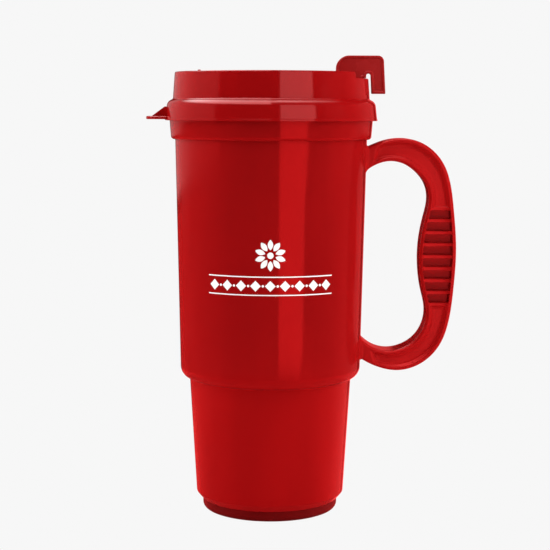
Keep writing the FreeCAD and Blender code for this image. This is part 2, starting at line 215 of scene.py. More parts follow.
def grid_faces(rows: int, columns: int, rows_close: bool, columns_close: bool) -> np.ndarray:
    """Number the quads of a grid of vertices that is stored row by row.

    Args:
        rows: how many rows of vertices.
        columns: how many vertices in a row.
        rows_close: whether the last row joins the first.
        columns_close: whether each row's end joins its start.

    Returns:
        Vertex numbers of shape (quad, 4).
    """
    row = np.arange(rows if rows_close else rows - 1)
    column = np.arange(columns if columns_close else columns - 1)
    low, left = np.meshgrid(row, column, indexing="ij")
    high, right = (low + 1) % rows, (left + 1) % columns
    corners = [low * columns + left, low * columns + right, high * columns + right, high * columns + left]
    return np.stack(corners, axis=-1).reshape(-1, 4)


def tidy(mesh: bpy.types.Mesh) -> None:
    """Close seams and poles, face outwards, and shade smoothly up to the sharp angle.

    Args:
        mesh: the mesh to finish.
    """
    work = bmesh.new()
    work.from_mesh(mesh)
    bmesh.ops.remove_doubles(work, verts=work.verts, dist=MERGE_DISTANCE)
    bmesh.ops.dissolve_degenerate(work, edges=work.edges, dist=DEGENERATE_LENGTH)
    bmesh.ops.recalc_face_normals(work, faces=work.faces)
    work.to_mesh(mesh)
    work.free()
    mesh.shade_smooth()
    mesh.set_sharp_from_angle(angle=math.radians(SHARP_ANGLE))


def piece(name: str, vertices: np.ndarray, faces: list[list[int]] | np.ndarray) -> bpy.types.Object:
    """Make a finished piece from arrays.

    Args:
        name: the piece's name.
        vertices: places of shape (..., 3).
        faces: vertex numbers, one row a face.

    Returns:
        The new object, at the origin.
    """
    mesh = bpy.data.meshes.new(name)
    rows = faces.tolist() if isinstance(faces, np.ndarray) else faces
    mesh.from_pydata(vertices.reshape(-1, 3).tolist(), [], rows)
    tidy(mesh)
    made = bpy.data.objects.new(name, mesh)
    bpy.context.scene.collection.objects.link(made)
    return made


def turned(name: str, outline: Outline, segments: int = 216) -> bpy.types.Object:
    """Turn an outline about the axis: (r, z) goes to (r cos a, r sin a, z).

    Args:
        name: the piece's name.
        outline: the section, in (r, z).
        segments: how many steps make the circle.

    Returns:
        The new piece.
    """
    section = outline.points()
    angle = np.arange(segments) * 2.0 * math.pi / segments
    radius, height = section[:, :1], section[:, 1:]
    places = np.stack([radius * np.cos(angle), radius * np.sin(angle), height + 0.0 * angle], axis=-1)
    return piece(name, places, grid_faces(len(section), segments, outline.closed, True))


class Plane(Enum):
    """How a plate's outline (a, b) and its height h lie in space."""

    UPRIGHT = "a along X, b along Z, h along Y"
    LEVEL = "a along X, b along Y, h along Z"


def plate(name: str, outline: Outline, steps: list[Pair], plane: Plane,
          margin: float = 0.0001) -> bpy.types.Object:
    """Carry a section round an outline: each step is a ring at one inset and one height.

    Args:
        name: the piece's name.
        outline: the plate's outer edge.
        steps: (inset, height) from one face's middle round the edge to the other's.
        plane: which way the plate lies.
        margin: the flat strip inside the first and last ring, which keeps the end faces' normals true.

    Returns:
        The new piece.
    """
    rings = []
    first, last = steps[0], steps[-1]
    steps = [(first[0] + margin, first[1]), *steps, (last[0] + margin, last[1])]
    for inset, height in steps:
        ring = outline.inset(inset).points()
        level = np.full(len(ring), height)
        order = [ring[:, 0], level, ring[:, 1]]
        if plane is Plane.LEVEL:
            order = [ring[:, 0], ring[:, 1], level]
        rings.append(np.stack(order, axis=-1))
    places = np.stack(rings)
    count = places.shape[1]
    faces = grid_faces(len(rings), count, False, True).tolist()
    faces += [list(range(count)), list(range((len(rings) - 1) * count, len(rings) * count))]
    return piece(name, places, faces)


def edge_steps(half: float, rounding: float, count: int = 5) -> list[Pair]:
    """Steps of a plain plate whose edges are rounded by quarter circles.

    Args:
        half: half the plate's thickness.
        rounding: the edge radius.
        count: points in each quarter circle.

    Returns:
        (inset, height) steps from the low face to the high face.
    """
    turn = np.linspace(0.0, math.pi / 2.0, count)
    inset = rounding * (1.0 - np.sin(turn))
    height = half - rounding + rounding * np.cos(turn)
    low = [(float(a), float(-b)) for a, b in zip(inset, height)]
    return low + [(a, -b) for a, b in reversed(low)]


def cut(target: bpy.types.Object, cutters: list[bpy.types.Object]) -> None:
    """Take the cutters' volumes away from a piece for good.

    Args:
        target: the piece that is cut.
        cutters: closed pieces, which are used up.
    """
    for cutter in cutters:
        change = target.modifiers.new(cutter.name, "BOOLEAN")
        change.operation = "DIFFERENCE"
        change.solver = "EXACT"
        change.object = cutter
    graph = bpy.context.evaluated_depsgraph_get()
    result = bpy.data.meshes.new_from_object(target.evaluated_get(graph))
    target.modifiers.clear()
    old = target.data
    target.data = result
    result.name = target.name
    bpy.data.meshes.remove(old)
    for cutter in cutters:
        bpy.data.objects.remove(cutter)
    tidy(result)


# ---------------------------------------------------------------------------------------------
# Finishes
# ---------------------------------------------------------------------------------------------


class NodeBench:
    """A small helper that places and wires shader nodes."""

    def __init__(self, name: str) -> None:
        """Start an empty material.

        Args:
            name: the material's name.
        """
        self.material = bpy.data.materials.new(name)
        self.material.use_nodes = True
        self.tree = self.material.node_tree
        self.tree.nodes.clear()
        self.output = self.tree.nodes.new("ShaderNodeOutputMaterial")
        self.place = self.add("ShaderNodeTexCoord").outputs["Object"]

    def add(self, kind: str, **values: object) -> bpy.types.Node:
        """Add one node.

        Args:
            kind: the node's type.
            values: settings by attribute, or by input name with spaces as underscores.

        Returns:
            The node.
        """
        node = self.tree.nodes.new(kind)
        for key, value in values.items():
            if hasattr(node, key):
                setattr(node, key, value)
            else:
                node.inputs[key.replace("_", " ")].default_value = value
        return node

    def wire(self, source: bpy.types.NodeSocket, target: bpy.types.NodeSocket) -> None:
        """Join an output to an input."""
        self.tree.links.new(source, target)

    def stretched(self, scale: Triple) -> bpy.types.NodeSocket:
        """Scale the object coordinates.

        Args:
            scale: the factor along each axis.

        Returns:
            The scaled coordinates.
        """
        mapping = self.add("ShaderNodeMapping")
        mapping.inputs["Scale"].default_value = scale
        self.wire(self.place, mapping.inputs["Vector"])
        return mapping.outputs["Vector"]

    def noise(self, feature: float, detail: float = 3.0, roughness: float = 0.5,
              stretch: Triple = (1.0, 1.0, 1.0)) -> bpy.types.NodeSocket:
        """Noise whose blotches are about one feature across.

        Args:
            feature: the size of a blotch in metres.
            detail: how many finer layers it has.
            roughness: how strong the finer layers are.
            stretch: how much the pattern is squeezed along each axis.

        Returns:
            The noise's value, from 0 to 1.
        """
        node = self.add("ShaderNodeTexNoise", Scale=1.0 / feature, Detail=detail, Roughness=roughness)
        self.wire(self.stretched(stretch), node.inputs["Vector"])
        return node.outputs["Fac"]

    def ranged(self, source: bpy.types.NodeSocket, low: float, high: float,
               to_low: float, to_high: float) -> bpy.types.NodeSocket:
        """Map a value from one range to another, smoothly and clamped.

        Args:
            source: the value.
            low: the source's lower end.
            high: the source's upper end.
            to_low: what the lower end becomes.
            to_high: what the upper end becomes.

        Returns:
            The mapped value.
        """
        node = self.add("ShaderNodeMapRange", interpolation_type="SMOOTHSTEP")
        for key, value in (("From Min", low), ("From Max", high), ("To Min", to_low), ("To Max", to_high)):
            node.inputs[key].default_value = value
        self.wire(source, node.inputs["Value"])
        return node.outputs["Result"]

    def blend(self, share: bpy.types.NodeSocket, low: tuple, high: tuple) -> bpy.types.NodeSocket:
        """Blend two colours.

        Args:
            share: 0 for the first colour, 1 for the second.
            low: the first colour.
            high: the second colour.

        Returns:
            The blended colour.
        """
        node = self.add("ShaderNodeMix", data_type="RGBA")
        colours = [socket for socket in node.inputs if socket.type == "RGBA"]
        colours[0].default_value, colours[1].default_value = low, high
        self.wire(share, node.inputs[0])
        return [socket for socket in node.outputs if socket.type == "RGBA"][0]

    def math(self, operation: str, first: bpy.types.NodeSocket,
             second: bpy.types.NodeSocket | float) -> bpy.types.NodeSocket:
        """Take one arithmetic step.

        Args:
            operation: what is done.
            first: the first value.
            second: the second value, wired or fixed.

        Returns:
            The result.
        """
        node = self.add("ShaderNodeMath", operation=operation)
        self.wire(first, node.inputs[0])
        if isinstance(second, float):
            node.inputs[1].default_value = second
        else:
            self.wire(second, node.inputs[1])
        return node.outputs["Value"]

    def bump(self, height: bpy.types.NodeSocket, distance: float, strength: float,
             under: bpy.types.NodeSocket | None = None) -> bpy.types.NodeSocket:
        """Bump from a height, over another bump where one is given.

        Args:
            height: the height from 0 to 1.
            distance: how high 1 stands, in metres.
            strength: the share of the bump that shows.
            under: the normal that it is added to.

        Returns:
            The bumped normal.
        """
        node = self.add("ShaderNodeBump", Strength=strength, Distance=distance)
        self.wire(height, node.inputs["Height"])
        if under is not None:
            self.wire(under, node.inputs["Normal"])
        return node.outputs["Normal"]


def shade(colour: Triple, factor: float) -> tuple[float, float, float, float]:
    """A colour made lighter or darker, as red, green, blue and alpha."""
    return tuple(channel * factor for channel in colour) + (1.0,)


@dataclass(frozen=True)
class MouldedPlastic:
    """Injection-moulded polypropylene.

    The colour drifts a little in long soft flow marks, the gloss is broken by faint smears, and the
    surface has an orange-peel ripple and fine hairline scratches from handling. Depth is the share of
    the light that is mirrored in the plastic's own colour, as by a deep, heavily dyed surface. Each size
    is how large that mark is, and each height how far it stands out.
    """

    name: str
    slot: str
    colour: Triple
    sheen_tint: Triple
    gloss: float = 0.09
    gloss_drift: float = 0.07
    specular: float = 0.5
    depth: float = 0.0
    ripple: float = 0.25
    scratch: float = 0.12
    flow: float = 0.05
    flow_size: float = 0.018
    flow_stretch: Triple = (1.0, 1.0, 0.25)
    smear_size: float = 0.009
    peel_size: float = 0.0016
    peel_height: float = 0.00002
    hair_size: float = 0.0005
    hair_stretch: Triple = (0.06, 0.06, 1.0)
    hair_height: float = 0.00001

    def material(self) -> bpy.types.Material:
        """Build the shader.

        Returns:
            The finished material.
        """
        bench = NodeBench(self.name)
        shader = bench.add("ShaderNodeBsdfPrincipled")
        shader.inputs["Specular IOR Level"].default_value = self.specular
        shader.inputs["Specular Tint"].default_value = self.sheen_tint + (1.0,)
        shader.inputs["IOR"].default_value = 1.5
        shader.inputs["Metallic"].default_value = self.depth
        flow = bench.noise(self.flow_size, 2.0, 0.5, self.flow_stretch)
        drift = bench.ranged(flow, 0.3, 0.7, 0.0, 1.0)
        colour = bench.blend(drift, shade(self.colour, 1.0 - self.flow),
                             shade(self.colour, 1.0 + self.flow))
        bench.wire(colour, shader.inputs["Base Color"])
        smear = bench.noise(self.smear_size, 5.0, 0.6)
        bench.wire(bench.ranged(smear, 0.42, 0.78, self.gloss, self.gloss + self.gloss_drift),
                   shader.inputs["Roughness"])
        peel = bench.noise(self.peel_size, 2.0, 0.5)
        ripple = bench.bump(peel, self.peel_height, self.ripple)
        hairs = bench.noise(self.hair_size, 2.0, 0.7, self.hair_stretch)
        lines = bench.ranged(hairs, 0.66, 0.74, 0.0, 1.0)
        bench.wire(bench.bump(lines, self.hair_height, self.scratch, ripple), shader.inputs["Normal"])
        bench.wire(shader.outputs["BSDF"], bench.output.inputs["Surface"])
        return bench.material


@dataclass(frozen=True)
class ScreenInk:
    """White screen-printed ink, with a fine grain and a few pinholes that show what is below."""

    name: str = "screen_ink"
    slot: str = "print_ink"
    colour: Triple = (0.93, 0.92, 0.91)
    pinhole_colour: Triple = (0.72, 0.38, 0.37)
    grain_size: float = 0.00035
    grain_height: float = 0.00001

    def material(self) -> bpy.types.Material:
        """Build the shader.

        Returns:
            The finished material.
        """
        bench = NodeBench(self.name)
        shader = bench.add("ShaderNodeBsdfPrincipled", Roughness=0.42)
        grain = bench.noise(self.grain_size, 3.0, 0.6)
        holes = bench.ranged(grain, 0.72, 0.78, 0.0, 1.0)
        colour = bench.blend(holes, shade(self.colour, 1.0), shade(self.pinhole_colour, 1.0))
        bench.wire(colour, shader.inputs["Base Color"])
        bench.wire(bench.bump(grain, self.grain_height, 0.3), shader.inputs["Normal"])
        bench.wire(shader.outputs["BSDF"], bench.output.inputs["Surface"])
        return bench.material


@dataclass(frozen=True)
class SoftSeal:
    """Matt silicone with a dusty bloom."""

    name: str = "soft_seal"
    slot: str = "seal_rubber"
    colour: Triple = (0.36, 0.02, 0.02)
    bloom: Triple = (0.338, 0.066, 0.066)
    dust_size: float = 0.0012
    dust_height: float = 0.00003

    def material(self) -> bpy.types.Material:
        """Build the shader.

        Returns:
            The finished material.
        """
        bench = NodeBench(self.name)
        shader = bench.add("ShaderNodeBsdfPrincipled")
        dust = bench.noise(self.dust_size, 6.0, 0.7)
        share = bench.ranged(dust, 0.45, 0.8, 0.0, 1.0)
        colour = bench.blend(share, shade(self.colour, 1.0), shade(self.bloom, 1.0))
        bench.wire(colour, shader.inputs["Base Color"])
        bench.wire(bench.ranged(dust, 0.3, 0.7, 0.5, 0.72), shader.inputs["Roughness"])
        bench.wire(bench.bump(dust, self.dust_height, 0.4), shader.inputs["Normal"])
        bench.wire(shader.outputs["BSDF"], bench.output.inputs["Surface"])
        return bench.material


@dataclass(frozen=True)
class PouredFoam:
    """Closed-cell foam: pale and matt, pitted by its cells, with painted shade that darkens each pit
    towards its middle.
    """

    name: str = "poured_foam"
    slot: str = "insulating_foam"
    colour: Triple = (0.80, 0.72, 0.50)
    cell_size: float = 0.0011
    cell_depth: float = 0.0003

    def material(self) -> bpy.types.Material:
        """Build the shader.

        Returns:
            The finished material.
        """
        bench = NodeBench(self.name)
        shader = bench.add("ShaderNodeBsdfPrincipled", Roughness=0.85)
        cells = bench.add("ShaderNodeTexVoronoi", Scale=1.0 / self.cell_size)
        bench.wire(bench.place, cells.inputs["Vector"])
        depth = cells.outputs["Distance"]
        # Painted shade: the colour darkens with the same cell distance that sinks each pit, so it is
        # darkest at the pit's deepest middle.
        bench.wire(bench.blend(depth, shade(self.colour, 0.7), shade(self.colour, 1.1)),
                   shader.inputs["Base Color"])
        bench.wire(bench.bump(depth, self.cell_depth, 0.6), shader.inputs["Normal"])
        bench.wire(shader.outputs["BSDF"], bench.output.inputs["Surface"])
        return bench.material


Finish = MouldedPlastic | ScreenInk | SoftSeal | PouredFoam
RED = (0.34, 0.0046, 0.0052)


class Finishes(Enum):
    """The finishes on this mug."""

    BODY = MouldedPlastic("body_plastic", "body_plastic", RED, (1.0, 0.03, 0.03), depth=0.16)
    HANDLE = MouldedPlastic("handle_plastic", "handle_plastic", (0.42, 0.0058, 0.0064), (1.0, 0.10, 0.10),
                            gloss=0.2, ripple=0.4, scratch=0.2, specular=0.4, depth=0.08)
    LINER = MouldedPlastic("liner_plastic", "liner_plastic", RED, (1.0, 0.03, 0.03), depth=0.16)
    # Painted shade: the foot's red is the body's red darkened to under half, standing in for the shade
    # beside the floor. Its rougher, scratched gloss is its own wear.
    BASE = MouldedPlastic("base_plastic", "base_plastic", (0.15, 0.0030, 0.0033), (1.0, 0.1, 0.1),
                          gloss=0.32, gloss_drift=0.25, scratch=0.5, ripple=0.6, specular=0.12)
    LID = MouldedPlastic("lid_plastic", "lid_plastic", (0.30, 0.0031, 0.0037), (0.75, 0.19, 0.19),
                         gloss=0.07, specular=1.0)
    SHUTTER = MouldedPlastic("shutter_plastic", "shutter_plastic", (0.30, 0.0085, 0.0085), (0.9, 0.2, 0.2),
                             gloss=0.26, ripple=0.5, scratch=0.3, specular=0.4)
    INK = ScreenInk()
    SEAL = SoftSeal()
    FOAM = PouredFoam()


class Wardrobe:
    """Keeps one material for each finish and puts it on pieces."""

    def __init__(self) -> None:
        """Start with no material made."""
        self.made: dict[str, bpy.types.Material] = {}

    def dress(self, target: bpy.types.Object, finish: Finishes) -> None:
        """Give a piece or a CAD node a finish in place of what it has.

        Args:
            target: the object to dress.
            finish: the finish that it gets.
        """
        kind = finish.value
        if kind.name not in self.made:
            self.made[kind.name] = kind.material()
        target.data.materials.clear()
        target.data.materials.append(self.made[kind.name])

    def fit(self, made: bpy.types.Object, body: Body, finish: Finishes, *nodes: str) -> None:
        """Dress a new piece, join it to its body, and let it stand for CAD nodes.

        Args:
            made: the new piece.
            body: the body that it rides on.
            finish: its finish.
            nodes: the CAD nodes that it replaces.
        """
        self.dress(made, finish)
        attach(made, body.value)
        if nodes:
            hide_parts(*nodes)
        LOG.info("%s: %d faces on %s", made.name, len(made.data.polygons), body.value)


# ---------------------------------------------------------------------------------------------
# The mug
# ---------------------------------------------------------------------------------------------


@dataclass
class OuterShell:
    """The stepped outer wall, whose lower taper drops into a cup holder."""

    wall: float = 0.0019
    bottom_radius: float = 0.02905
    taper_foot: Pair = (0.0315, 0.0075)
    step_foot: Pair = (0.03443, 0.0569)
    step_top: Pair = (0.03827, 0.0583)
    step_rounding: float = 0.0048
    top: Pair = (0.04068, 0.169)
    spigot_radius: float = 0.0276
    bottom_z: float = field(default_factory=lambda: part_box("outer_shell")[0].z)

    def radius(self, height: np.ndarray) -> np.ndarray:
        """Outside radius of the upper wall, straight from the step to the top."""
        share = (height - self.step_top[1]) / (self.top[1] - self.step_top[1])
        return self.step_top[0] + share * (self.top[0] - self.step_top[0])

    def outline(self) -> Outline:
        """Section of the wall, up the outside and down the inside.

        Returns:
            The outline.
        """
        inner_step = self.step_top[1] + self.wall
        return Outline([
            (self.bottom_radius, self.bottom_z, 0.0004),
            (*self.taper_foot, 0.001),
            (*self.step_foot, 0.0008),
            (*self.step_top, self.step_rounding),
            (*self.top, 0.0002),
            (self.top[0] - self.wall, self.top[1], 0.0002),
            (float(self.radius(inner_step)) - self.wall, inner_step, self.step_rounding - self.wall),
            (self.step_foot[0] - self.wall, self.step_foot[1] + self.wall, 0.001),
            (self.taper_foot[0] - self.wall, self.taper_foot[1] + 0.002, 0.0005),
            (self.spigot_radius, self.taper_foot[1], 0.0003),
            (self.spigot_radius, self.bottom_z, 0.0002),
        ])

    def build(self, wardrobe: Wardrobe) -> None:
        """Make the shell."""
        made = turned("outer_wall", self.outline(), 288)
        wardrobe.fit(made, Body.MUG, Finishes.BODY, "outer_shell")


@dataclass
class BaseCap:
    """The foot disc, with its ring groove below and its spigot above."""

    foot_radius: float = 0.0288
    foot_height: float = 0.0046
    floor_z: float = 0.002
    foot_rounding: float = 0.00235
    spigot_radius: float = 0.0276
    spigot_wall: float = 0.0017
    groove: Pair = (0.009, 0.022)
    groove_depth: float = 0.001
    spigot_top: float = field(default_factory=lambda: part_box("base_cap")[1].z)

    def outline(self) -> Outline:
        """Section from the middle of the underside round to the middle of the floor.

        Returns:
            The outline.
        """
        bore = self.spigot_radius - self.spigot_wall
        return Outline([
            (0.0, 0.0, 0.0),
            (self.groove[0], 0.0, 0.0003),
            (self.groove[0] + self.groove_depth, self.groove_depth, 0.0003),
            (self.groove[1] - self.groove_depth, self.groove_depth, 0.0003),
            (self.groove[1], 0.0, 0.0003),
            (self.foot_radius, 0.0, self.foot_rounding),
            (self.foot_radius, self.foot_height, 0.0001),
            (self.spigot_radius, self.foot_height, 0.0001),
            (self.spigot_radius, self.spigot_top, 0.0002),
            (bore, self.spigot_top, 0.0002),
            (bore, self.floor_z, 0.0006),
            (0.0, self.floor_z, 0.0),
        ], closed=False)

    def build(self, wardrobe: Wardrobe) -> None:
        """Make the cap."""
        made = turned("foot_disc", self.outline(), 192)
        wardrobe.fit(made, Body.MUG, Finishes.BASE, "base_cap")


@dataclass
class InnerLiner:
    """The drinking cup, whose rim is turned over into the band below the lid."""

    wall: float = 0.0016
    floor: Pair = (0.027, 0.011)
    floor_rounding: float = 0.006
    neck: Pair = (0.0352, 0.1565)
    mouth_radius: float = 0.0366
    mouth_foot: float = 0.1583
    rim_radius: float = 0.0425
    band_top: Pair = (0.0428, 0.1663)
    band_foot: Pair = (0.04215, 0.15815)
    channel_foot: float = 0.04044
    channel_top: Pair = (0.04068, 0.169)
    rim_z: float = field(default_factory=lambda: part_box("inner_liner")[1].z)
    floor_z: float = field(default_factory=lambda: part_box("inner_liner")[0].z)

    def outline(self) -> Outline:
        """Section from the middle of the floor up the inside, over the rim and back under the floor.

        Returns:
            The outline.
        """
        outside = self.mouth_radius + self.wall
        return Outline([
            (0.0, self.floor[1], 0.0),
            (*self.floor, self.floor_rounding),
            (*self.neck, 0.001),
            (self.mouth_radius, self.mouth_foot, 0.001),
            (self.mouth_radius, self.rim_z, 0.0008),
            (self.rim_radius, self.rim_z, 0.001),
            (self.rim_radius, self.band_top[1] + 0.0001, 0.00005),
            (*self.band_top, 0.00008),
            (*self.band_foot, 0.0013),
            (self.channel_foot, self.band_foot[1], 0.0001),
            (*self.channel_top, 0.0001),
            (outside, self.channel_top[1], 0.0001),
            (outside, self.mouth_foot - 0.0003, 0.001),
            (self.neck[0] + self.wall, self.neck[1] - 0.0004, 0.001),
            (self.floor[0] + self.wall - 0.0001, self.floor_z, self.floor_rounding + self.wall),
            (0.0, self.floor_z, 0.0),
        ], closed=False)

    def build(self, wardrobe: Wardrobe) -> None:
        """Make the liner."""
        made = turned("liner_and_band", self.outline(), 240)
        wardrobe.fit(made, Body.MUG, Finishes.LINER, "inner_liner")


@dataclass
class LoopHandle:
    """An open loop with recessed sides, a swollen grip and level finger ribs.

    Two smooth curves bound the loop in the XZ plane. A station joins a point of the inner curve to one
    of the outer curve. Above and below the grip both run at even shares of their own length, and in the
    grip both have the station's height, so that the ribs lie level. At each station a closed section is
    laid between the two points: a rounded flange at each edge and a sunk floor between them.
    """

    shell: OuterShell
    outer: tuple = (
        (0.0370, 0.1538), (0.0416, 0.1555), (0.0466, 0.1575), (0.0536, 0.1588), (0.0606, 0.1580),
        (0.0682, 0.1536), (0.0726, 0.1480), (0.0752, 0.1410), (0.0770, 0.1295), (0.0783, 0.1110),
        (0.0775, 0.0960), (0.0753, 0.0803), (0.0724, 0.0723), (0.0670, 0.0656), (0.0606, 0.0618),
        (0.0535, 0.0605), (0.0465, 0.0617), (0.0414, 0.0638), (0.0370, 0.0664))
    inner: tuple = (
        (0.0370, 0.1420), (0.0408, 0.1458), (0.0458, 0.1485), (0.0500, 0.1493), (0.0559, 0.1481),
        (0.0616, 0.1443), (0.0656, 0.1384), (0.0664, 0.1329), (0.0649, 0.1251), (0.0631, 0.1150),
        (0.0629, 0.1044), (0.0644, 0.0940), (0.0660, 0.0861), (0.0650, 0.0794), (0.0616, 0.0739),
        (0.0561, 0.0702), (0.0495, 0.0689), (0.0429, 0.0707), (0.0370, 0.0756))
    rounding: float = 0.0012
    flange: float = 0.0014
    arm_slope: float = 0.0018
    cell_slope: float = 0.0005
    recess: float = 0.0011
    recess_start: float = 0.0436
    cell_recess: float = 0.0044
    rib_count: int = 9
    rib_top: float = 0.1294
    rib_pitch: float = 0.00508
    rib_thickness: float = 0.0016
    rib_recess: float = 0.0005
    rib_draft: float = 0.0002
    root_fillet: float = 0.0012
    root_depth: float = 0.0012
    flare_gain: float = 1.3
    ramp_length: float = 0.0016
    grip_x: float = 0.055
    grip_bounds: Triple = (0.0615, 0.0745, 0.1485)
    curve_samples: int = 6000
    arm_stations: tuple[int, int] = (64, 56)
    edge_height: float = 0.45
    half_width: float = field(default_factory=lambda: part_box("handle")[1].y)

    def grip_heights(self) -> np.ndarray:
        """Heights of the grip's stations, crowded at each rib's two edges.

        Returns:
            The heights, from the top down.
        """
        centre = self.rib_top - self.rib_pitch * np.arange(self.rib_count)
        edge = np.concatenate([centre + self.rib_thickness / 2, centre - self.rib_thickness / 2])
        ramp = edge[:, None] + self.rib_draft * np.array([-1.0, -0.6, 0.0, 0.6, 1.0])
        middle = centre[:-1, None] - self.rib_pitch * np.array([0.3, 0.5, 0.7])
        heights = np.concatenate([ramp.ravel(), middle.ravel(), centre])
        return np.unique(heights)[::-1]

    def stations(self) -> tuple[np.ndarray, np.ndarray]:
        """Pair the two curves' points.

        Returns:
            The inner and the outer points, each of shape (station, 2).
        """
        grip = self.grip_heights()
        least_x, low_z, high_z = self.grip_bounds
        pairs = []
        for points in (self.inner, self.outer):
            curve = smooth_curve(np.array(points), self.curve_samples)
            step = np.linalg.norm(np.diff(curve, axis=0), axis=1)
            length = np.concatenate([[0.0], np.cumsum(step)])
            x, z = curve.T
            outside = np.flatnonzero(x > self.shell.radius(z) - self.root_depth)
            upright = np.flatnonzero((x > least_x) & (z < high_z) & (z > low_z))
            at_grip = np.interp(grip, curve[upright[::-1], 1], length[upright[::-1]])
            upper = np.linspace(length[outside[0]], at_grip[0], self.arm_stations[0], endpoint=False)
            lower = np.linspace(at_grip[-1], length[outside[-1]], self.arm_stations[1])[1:]
            along = np.concatenate([upper, at_grip, lower])
            pairs.append(np.stack([np.interp(along, length, x), np.interp(along, length, z)], axis=-1))
        return pairs[0], pairs[1]

    def depth(self, middle: np.ndarray) -> tuple[np.ndarray, np.ndarray]:
        """How deep the side is sunk at each station, and how wide the slope down to its floor is.

        The recess ramps in beyond the pads. In the grip the floor drops to the cells' depth between one
        rib and the next, by a smooth step half as wide as the ribs' draft on each side.

        Args:
            middle: the stations' middle points, of shape (station, 2).

        Returns:
            One depth and one slope width for each station.
        """
        ramp = smoothstep(middle[:, 0], self.recess_start, self.recess_start + self.ramp_length)
        height = middle[:, 1]
        low = self.rib_top - self.rib_pitch * (self.rib_count - 1)
        phase = (self.rib_top - height + self.rib_pitch / 2) % self.rib_pitch - self.rib_pitch / 2
        from_rib = np.abs(phase) - self.rib_thickness / 2
        in_cell = smoothstep(from_rib, -self.rib_draft, self.rib_draft)
        upright = middle[:, 0] > self.grip_x
        in_grip = (height < self.rib_top) & (height > low) & upright
        reach = self.rib_thickness
        on_rib = (1.0 - in_cell) * ((height < self.rib_top + reach) & (height > low - reach) & upright)
        cell = in_cell * in_grip
        web = self.recess * ramp
        depth = web + (self.cell_recess - web) * cell + (self.rib_recess - web) * on_rib
        return depth, self.arm_slope + (self.cell_slope - self.arm_slope) * np.maximum(cell, on_rib)

    def section(self) -> np.ndarray:
        """The half section of one side face, from the inner edge's middle to the outer edge's.

        Returns:
            Rows of (share of the width, offset from that edge, slope share, height share, rounding share,
            sink share). A point lies at share * width + offset + slope share * slope across the arm, and
            stands out by height * half width - rounding * edge radius - sink * depth.
        """
        turn = np.linspace(0.0, math.pi / 2.0, 7)
        flat = np.zeros(1)
        edge_offset = self.rounding * (1.0 - np.cos(turn))
        edge_drop = 1.0 - np.sin(turn)
        wall = np.linspace(0.0, 1.0, 7)
        wall_offset = self.flange + 0.0 * wall
        wall_sink = smoothstep(wall, 0.0, 1.0)
        offset = np.concatenate([flat, flat, edge_offset, wall_offset])
        slope = np.concatenate([flat, flat, 0.0 * turn, wall])
        height = np.concatenate([flat, flat + self.edge_height, np.ones(len(turn) + len(wall))])
        drop = np.concatenate([flat, flat, edge_drop, np.zeros(len(wall))])
        sink = np.concatenate([flat, flat, np.zeros(len(turn)), wall_sink])
        inner_half = np.stack([0.0 * offset, offset, slope, height, drop, sink], axis=1)
        floor = np.array([[share, 0.0, 0.0, 1.0, 0.0, 1.0] for share in (0.4, 0.5, 0.6)])
        outer_half = inner_half[::-1].copy()
        outer_half[:, 0] = 1.0
        outer_half[:, 1:3] *= -1.0
        return np.concatenate([inner_half, floor, outer_half])

    def surface(self) -> np.ndarray:
        """Lay the section at every station.

        Returns:
            Places of shape (station, section point, 3).
        """
        inner, outer = self.stations()
        span = outer - inner
        width = np.linalg.norm(span, axis=1)
        across = span / width[:, None]
        depth, slope = self.depth((inner + outer) / 2.0)
        share, offset, slide, height, drop, sink = self.section().T
        place = share * width[:, None] + offset + slide * slope[:, None]
        out = height * self.half_width - drop * self.rounding - sink * depth[:, None]
        flat = inner[:, None] + across[:, None] * place[:, :, None]
        near = np.stack([flat[:, :, 0], -out, flat[:, :, 1]], axis=-1)
        far = np.stack([flat[:, :, 0], out, flat[:, :, 1]], axis=-1)[:, ::-1]
        loop = np.concatenate([near, far[:, 1:-1]], axis=1)
        return self.flared(loop, across)

    def flared(self, loop: np.ndarray, across: np.ndarray) -> np.ndarray:
        """Spread the loop where it meets the shell.

        A point t from the shell's surface moves away from the section's middle by
        r - sqrt(r * r - (r - t) * (r - t)), which is a fillet of radius r.

        Args:
            loop: the sections, of shape (station, point, 3).
            across: each station's unit vector from inner to outer, of shape (station, 2).

        Returns:
            The sections with their flared roots.
        """
        clear = np.hypot(loop[:, :, 0], loop[:, :, 1]) - self.shell.radius(loop[:, :, 2])
        short = self.root_fillet - np.clip(clear, 0.0, self.root_fillet)
        swell = self.root_fillet - np.sqrt(np.maximum(self.root_fillet ** 2 - short ** 2, 0.0))
        middle = loop.mean(axis=1, keepdims=True)
        towards = loop - middle
        side = towards[:, :, 0] * across[:, None, 0] + towards[:, :, 2] * across[:, None, 1]
        half_span = np.abs(side).max(axis=1, keepdims=True)
        push = np.clip(side / half_span * self.flare_gain, -1.0, 1.0) * swell
        spread = np.clip(towards[:, :, 1] / self.half_width * self.flare_gain, -1.0, 1.0) * swell
        moved = loop.copy()
        moved[:, :, 0] += push * across[:, None, 0]
        moved[:, :, 2] += push * across[:, None, 1]
        moved[:, :, 1] += spread
        return moved

    def build(self, wardrobe: Wardrobe) -> None:
        """Make the handle, with a pole that closes each end inside the shell's wall.

        Args:
            wardrobe: the finishes.
        """
        loop = self.surface()
        first = np.broadcast_to(loop[:1].mean(axis=1, keepdims=True), loop[:1].shape)
        last = np.broadcast_to(loop[-1:].mean(axis=1, keepdims=True), loop[-1:].shape)
        places = np.concatenate([first, loop, last])
        made = piece("loop_handle", places, grid_faces(places.shape[0], places.shape[1], False, True))
        wardrobe.fit(made, Body.MUG, Finishes.HANDLE, "handle")


# ---------------------------------------------------------------------------------------------
# The print
# ---------------------------------------------------------------------------------------------


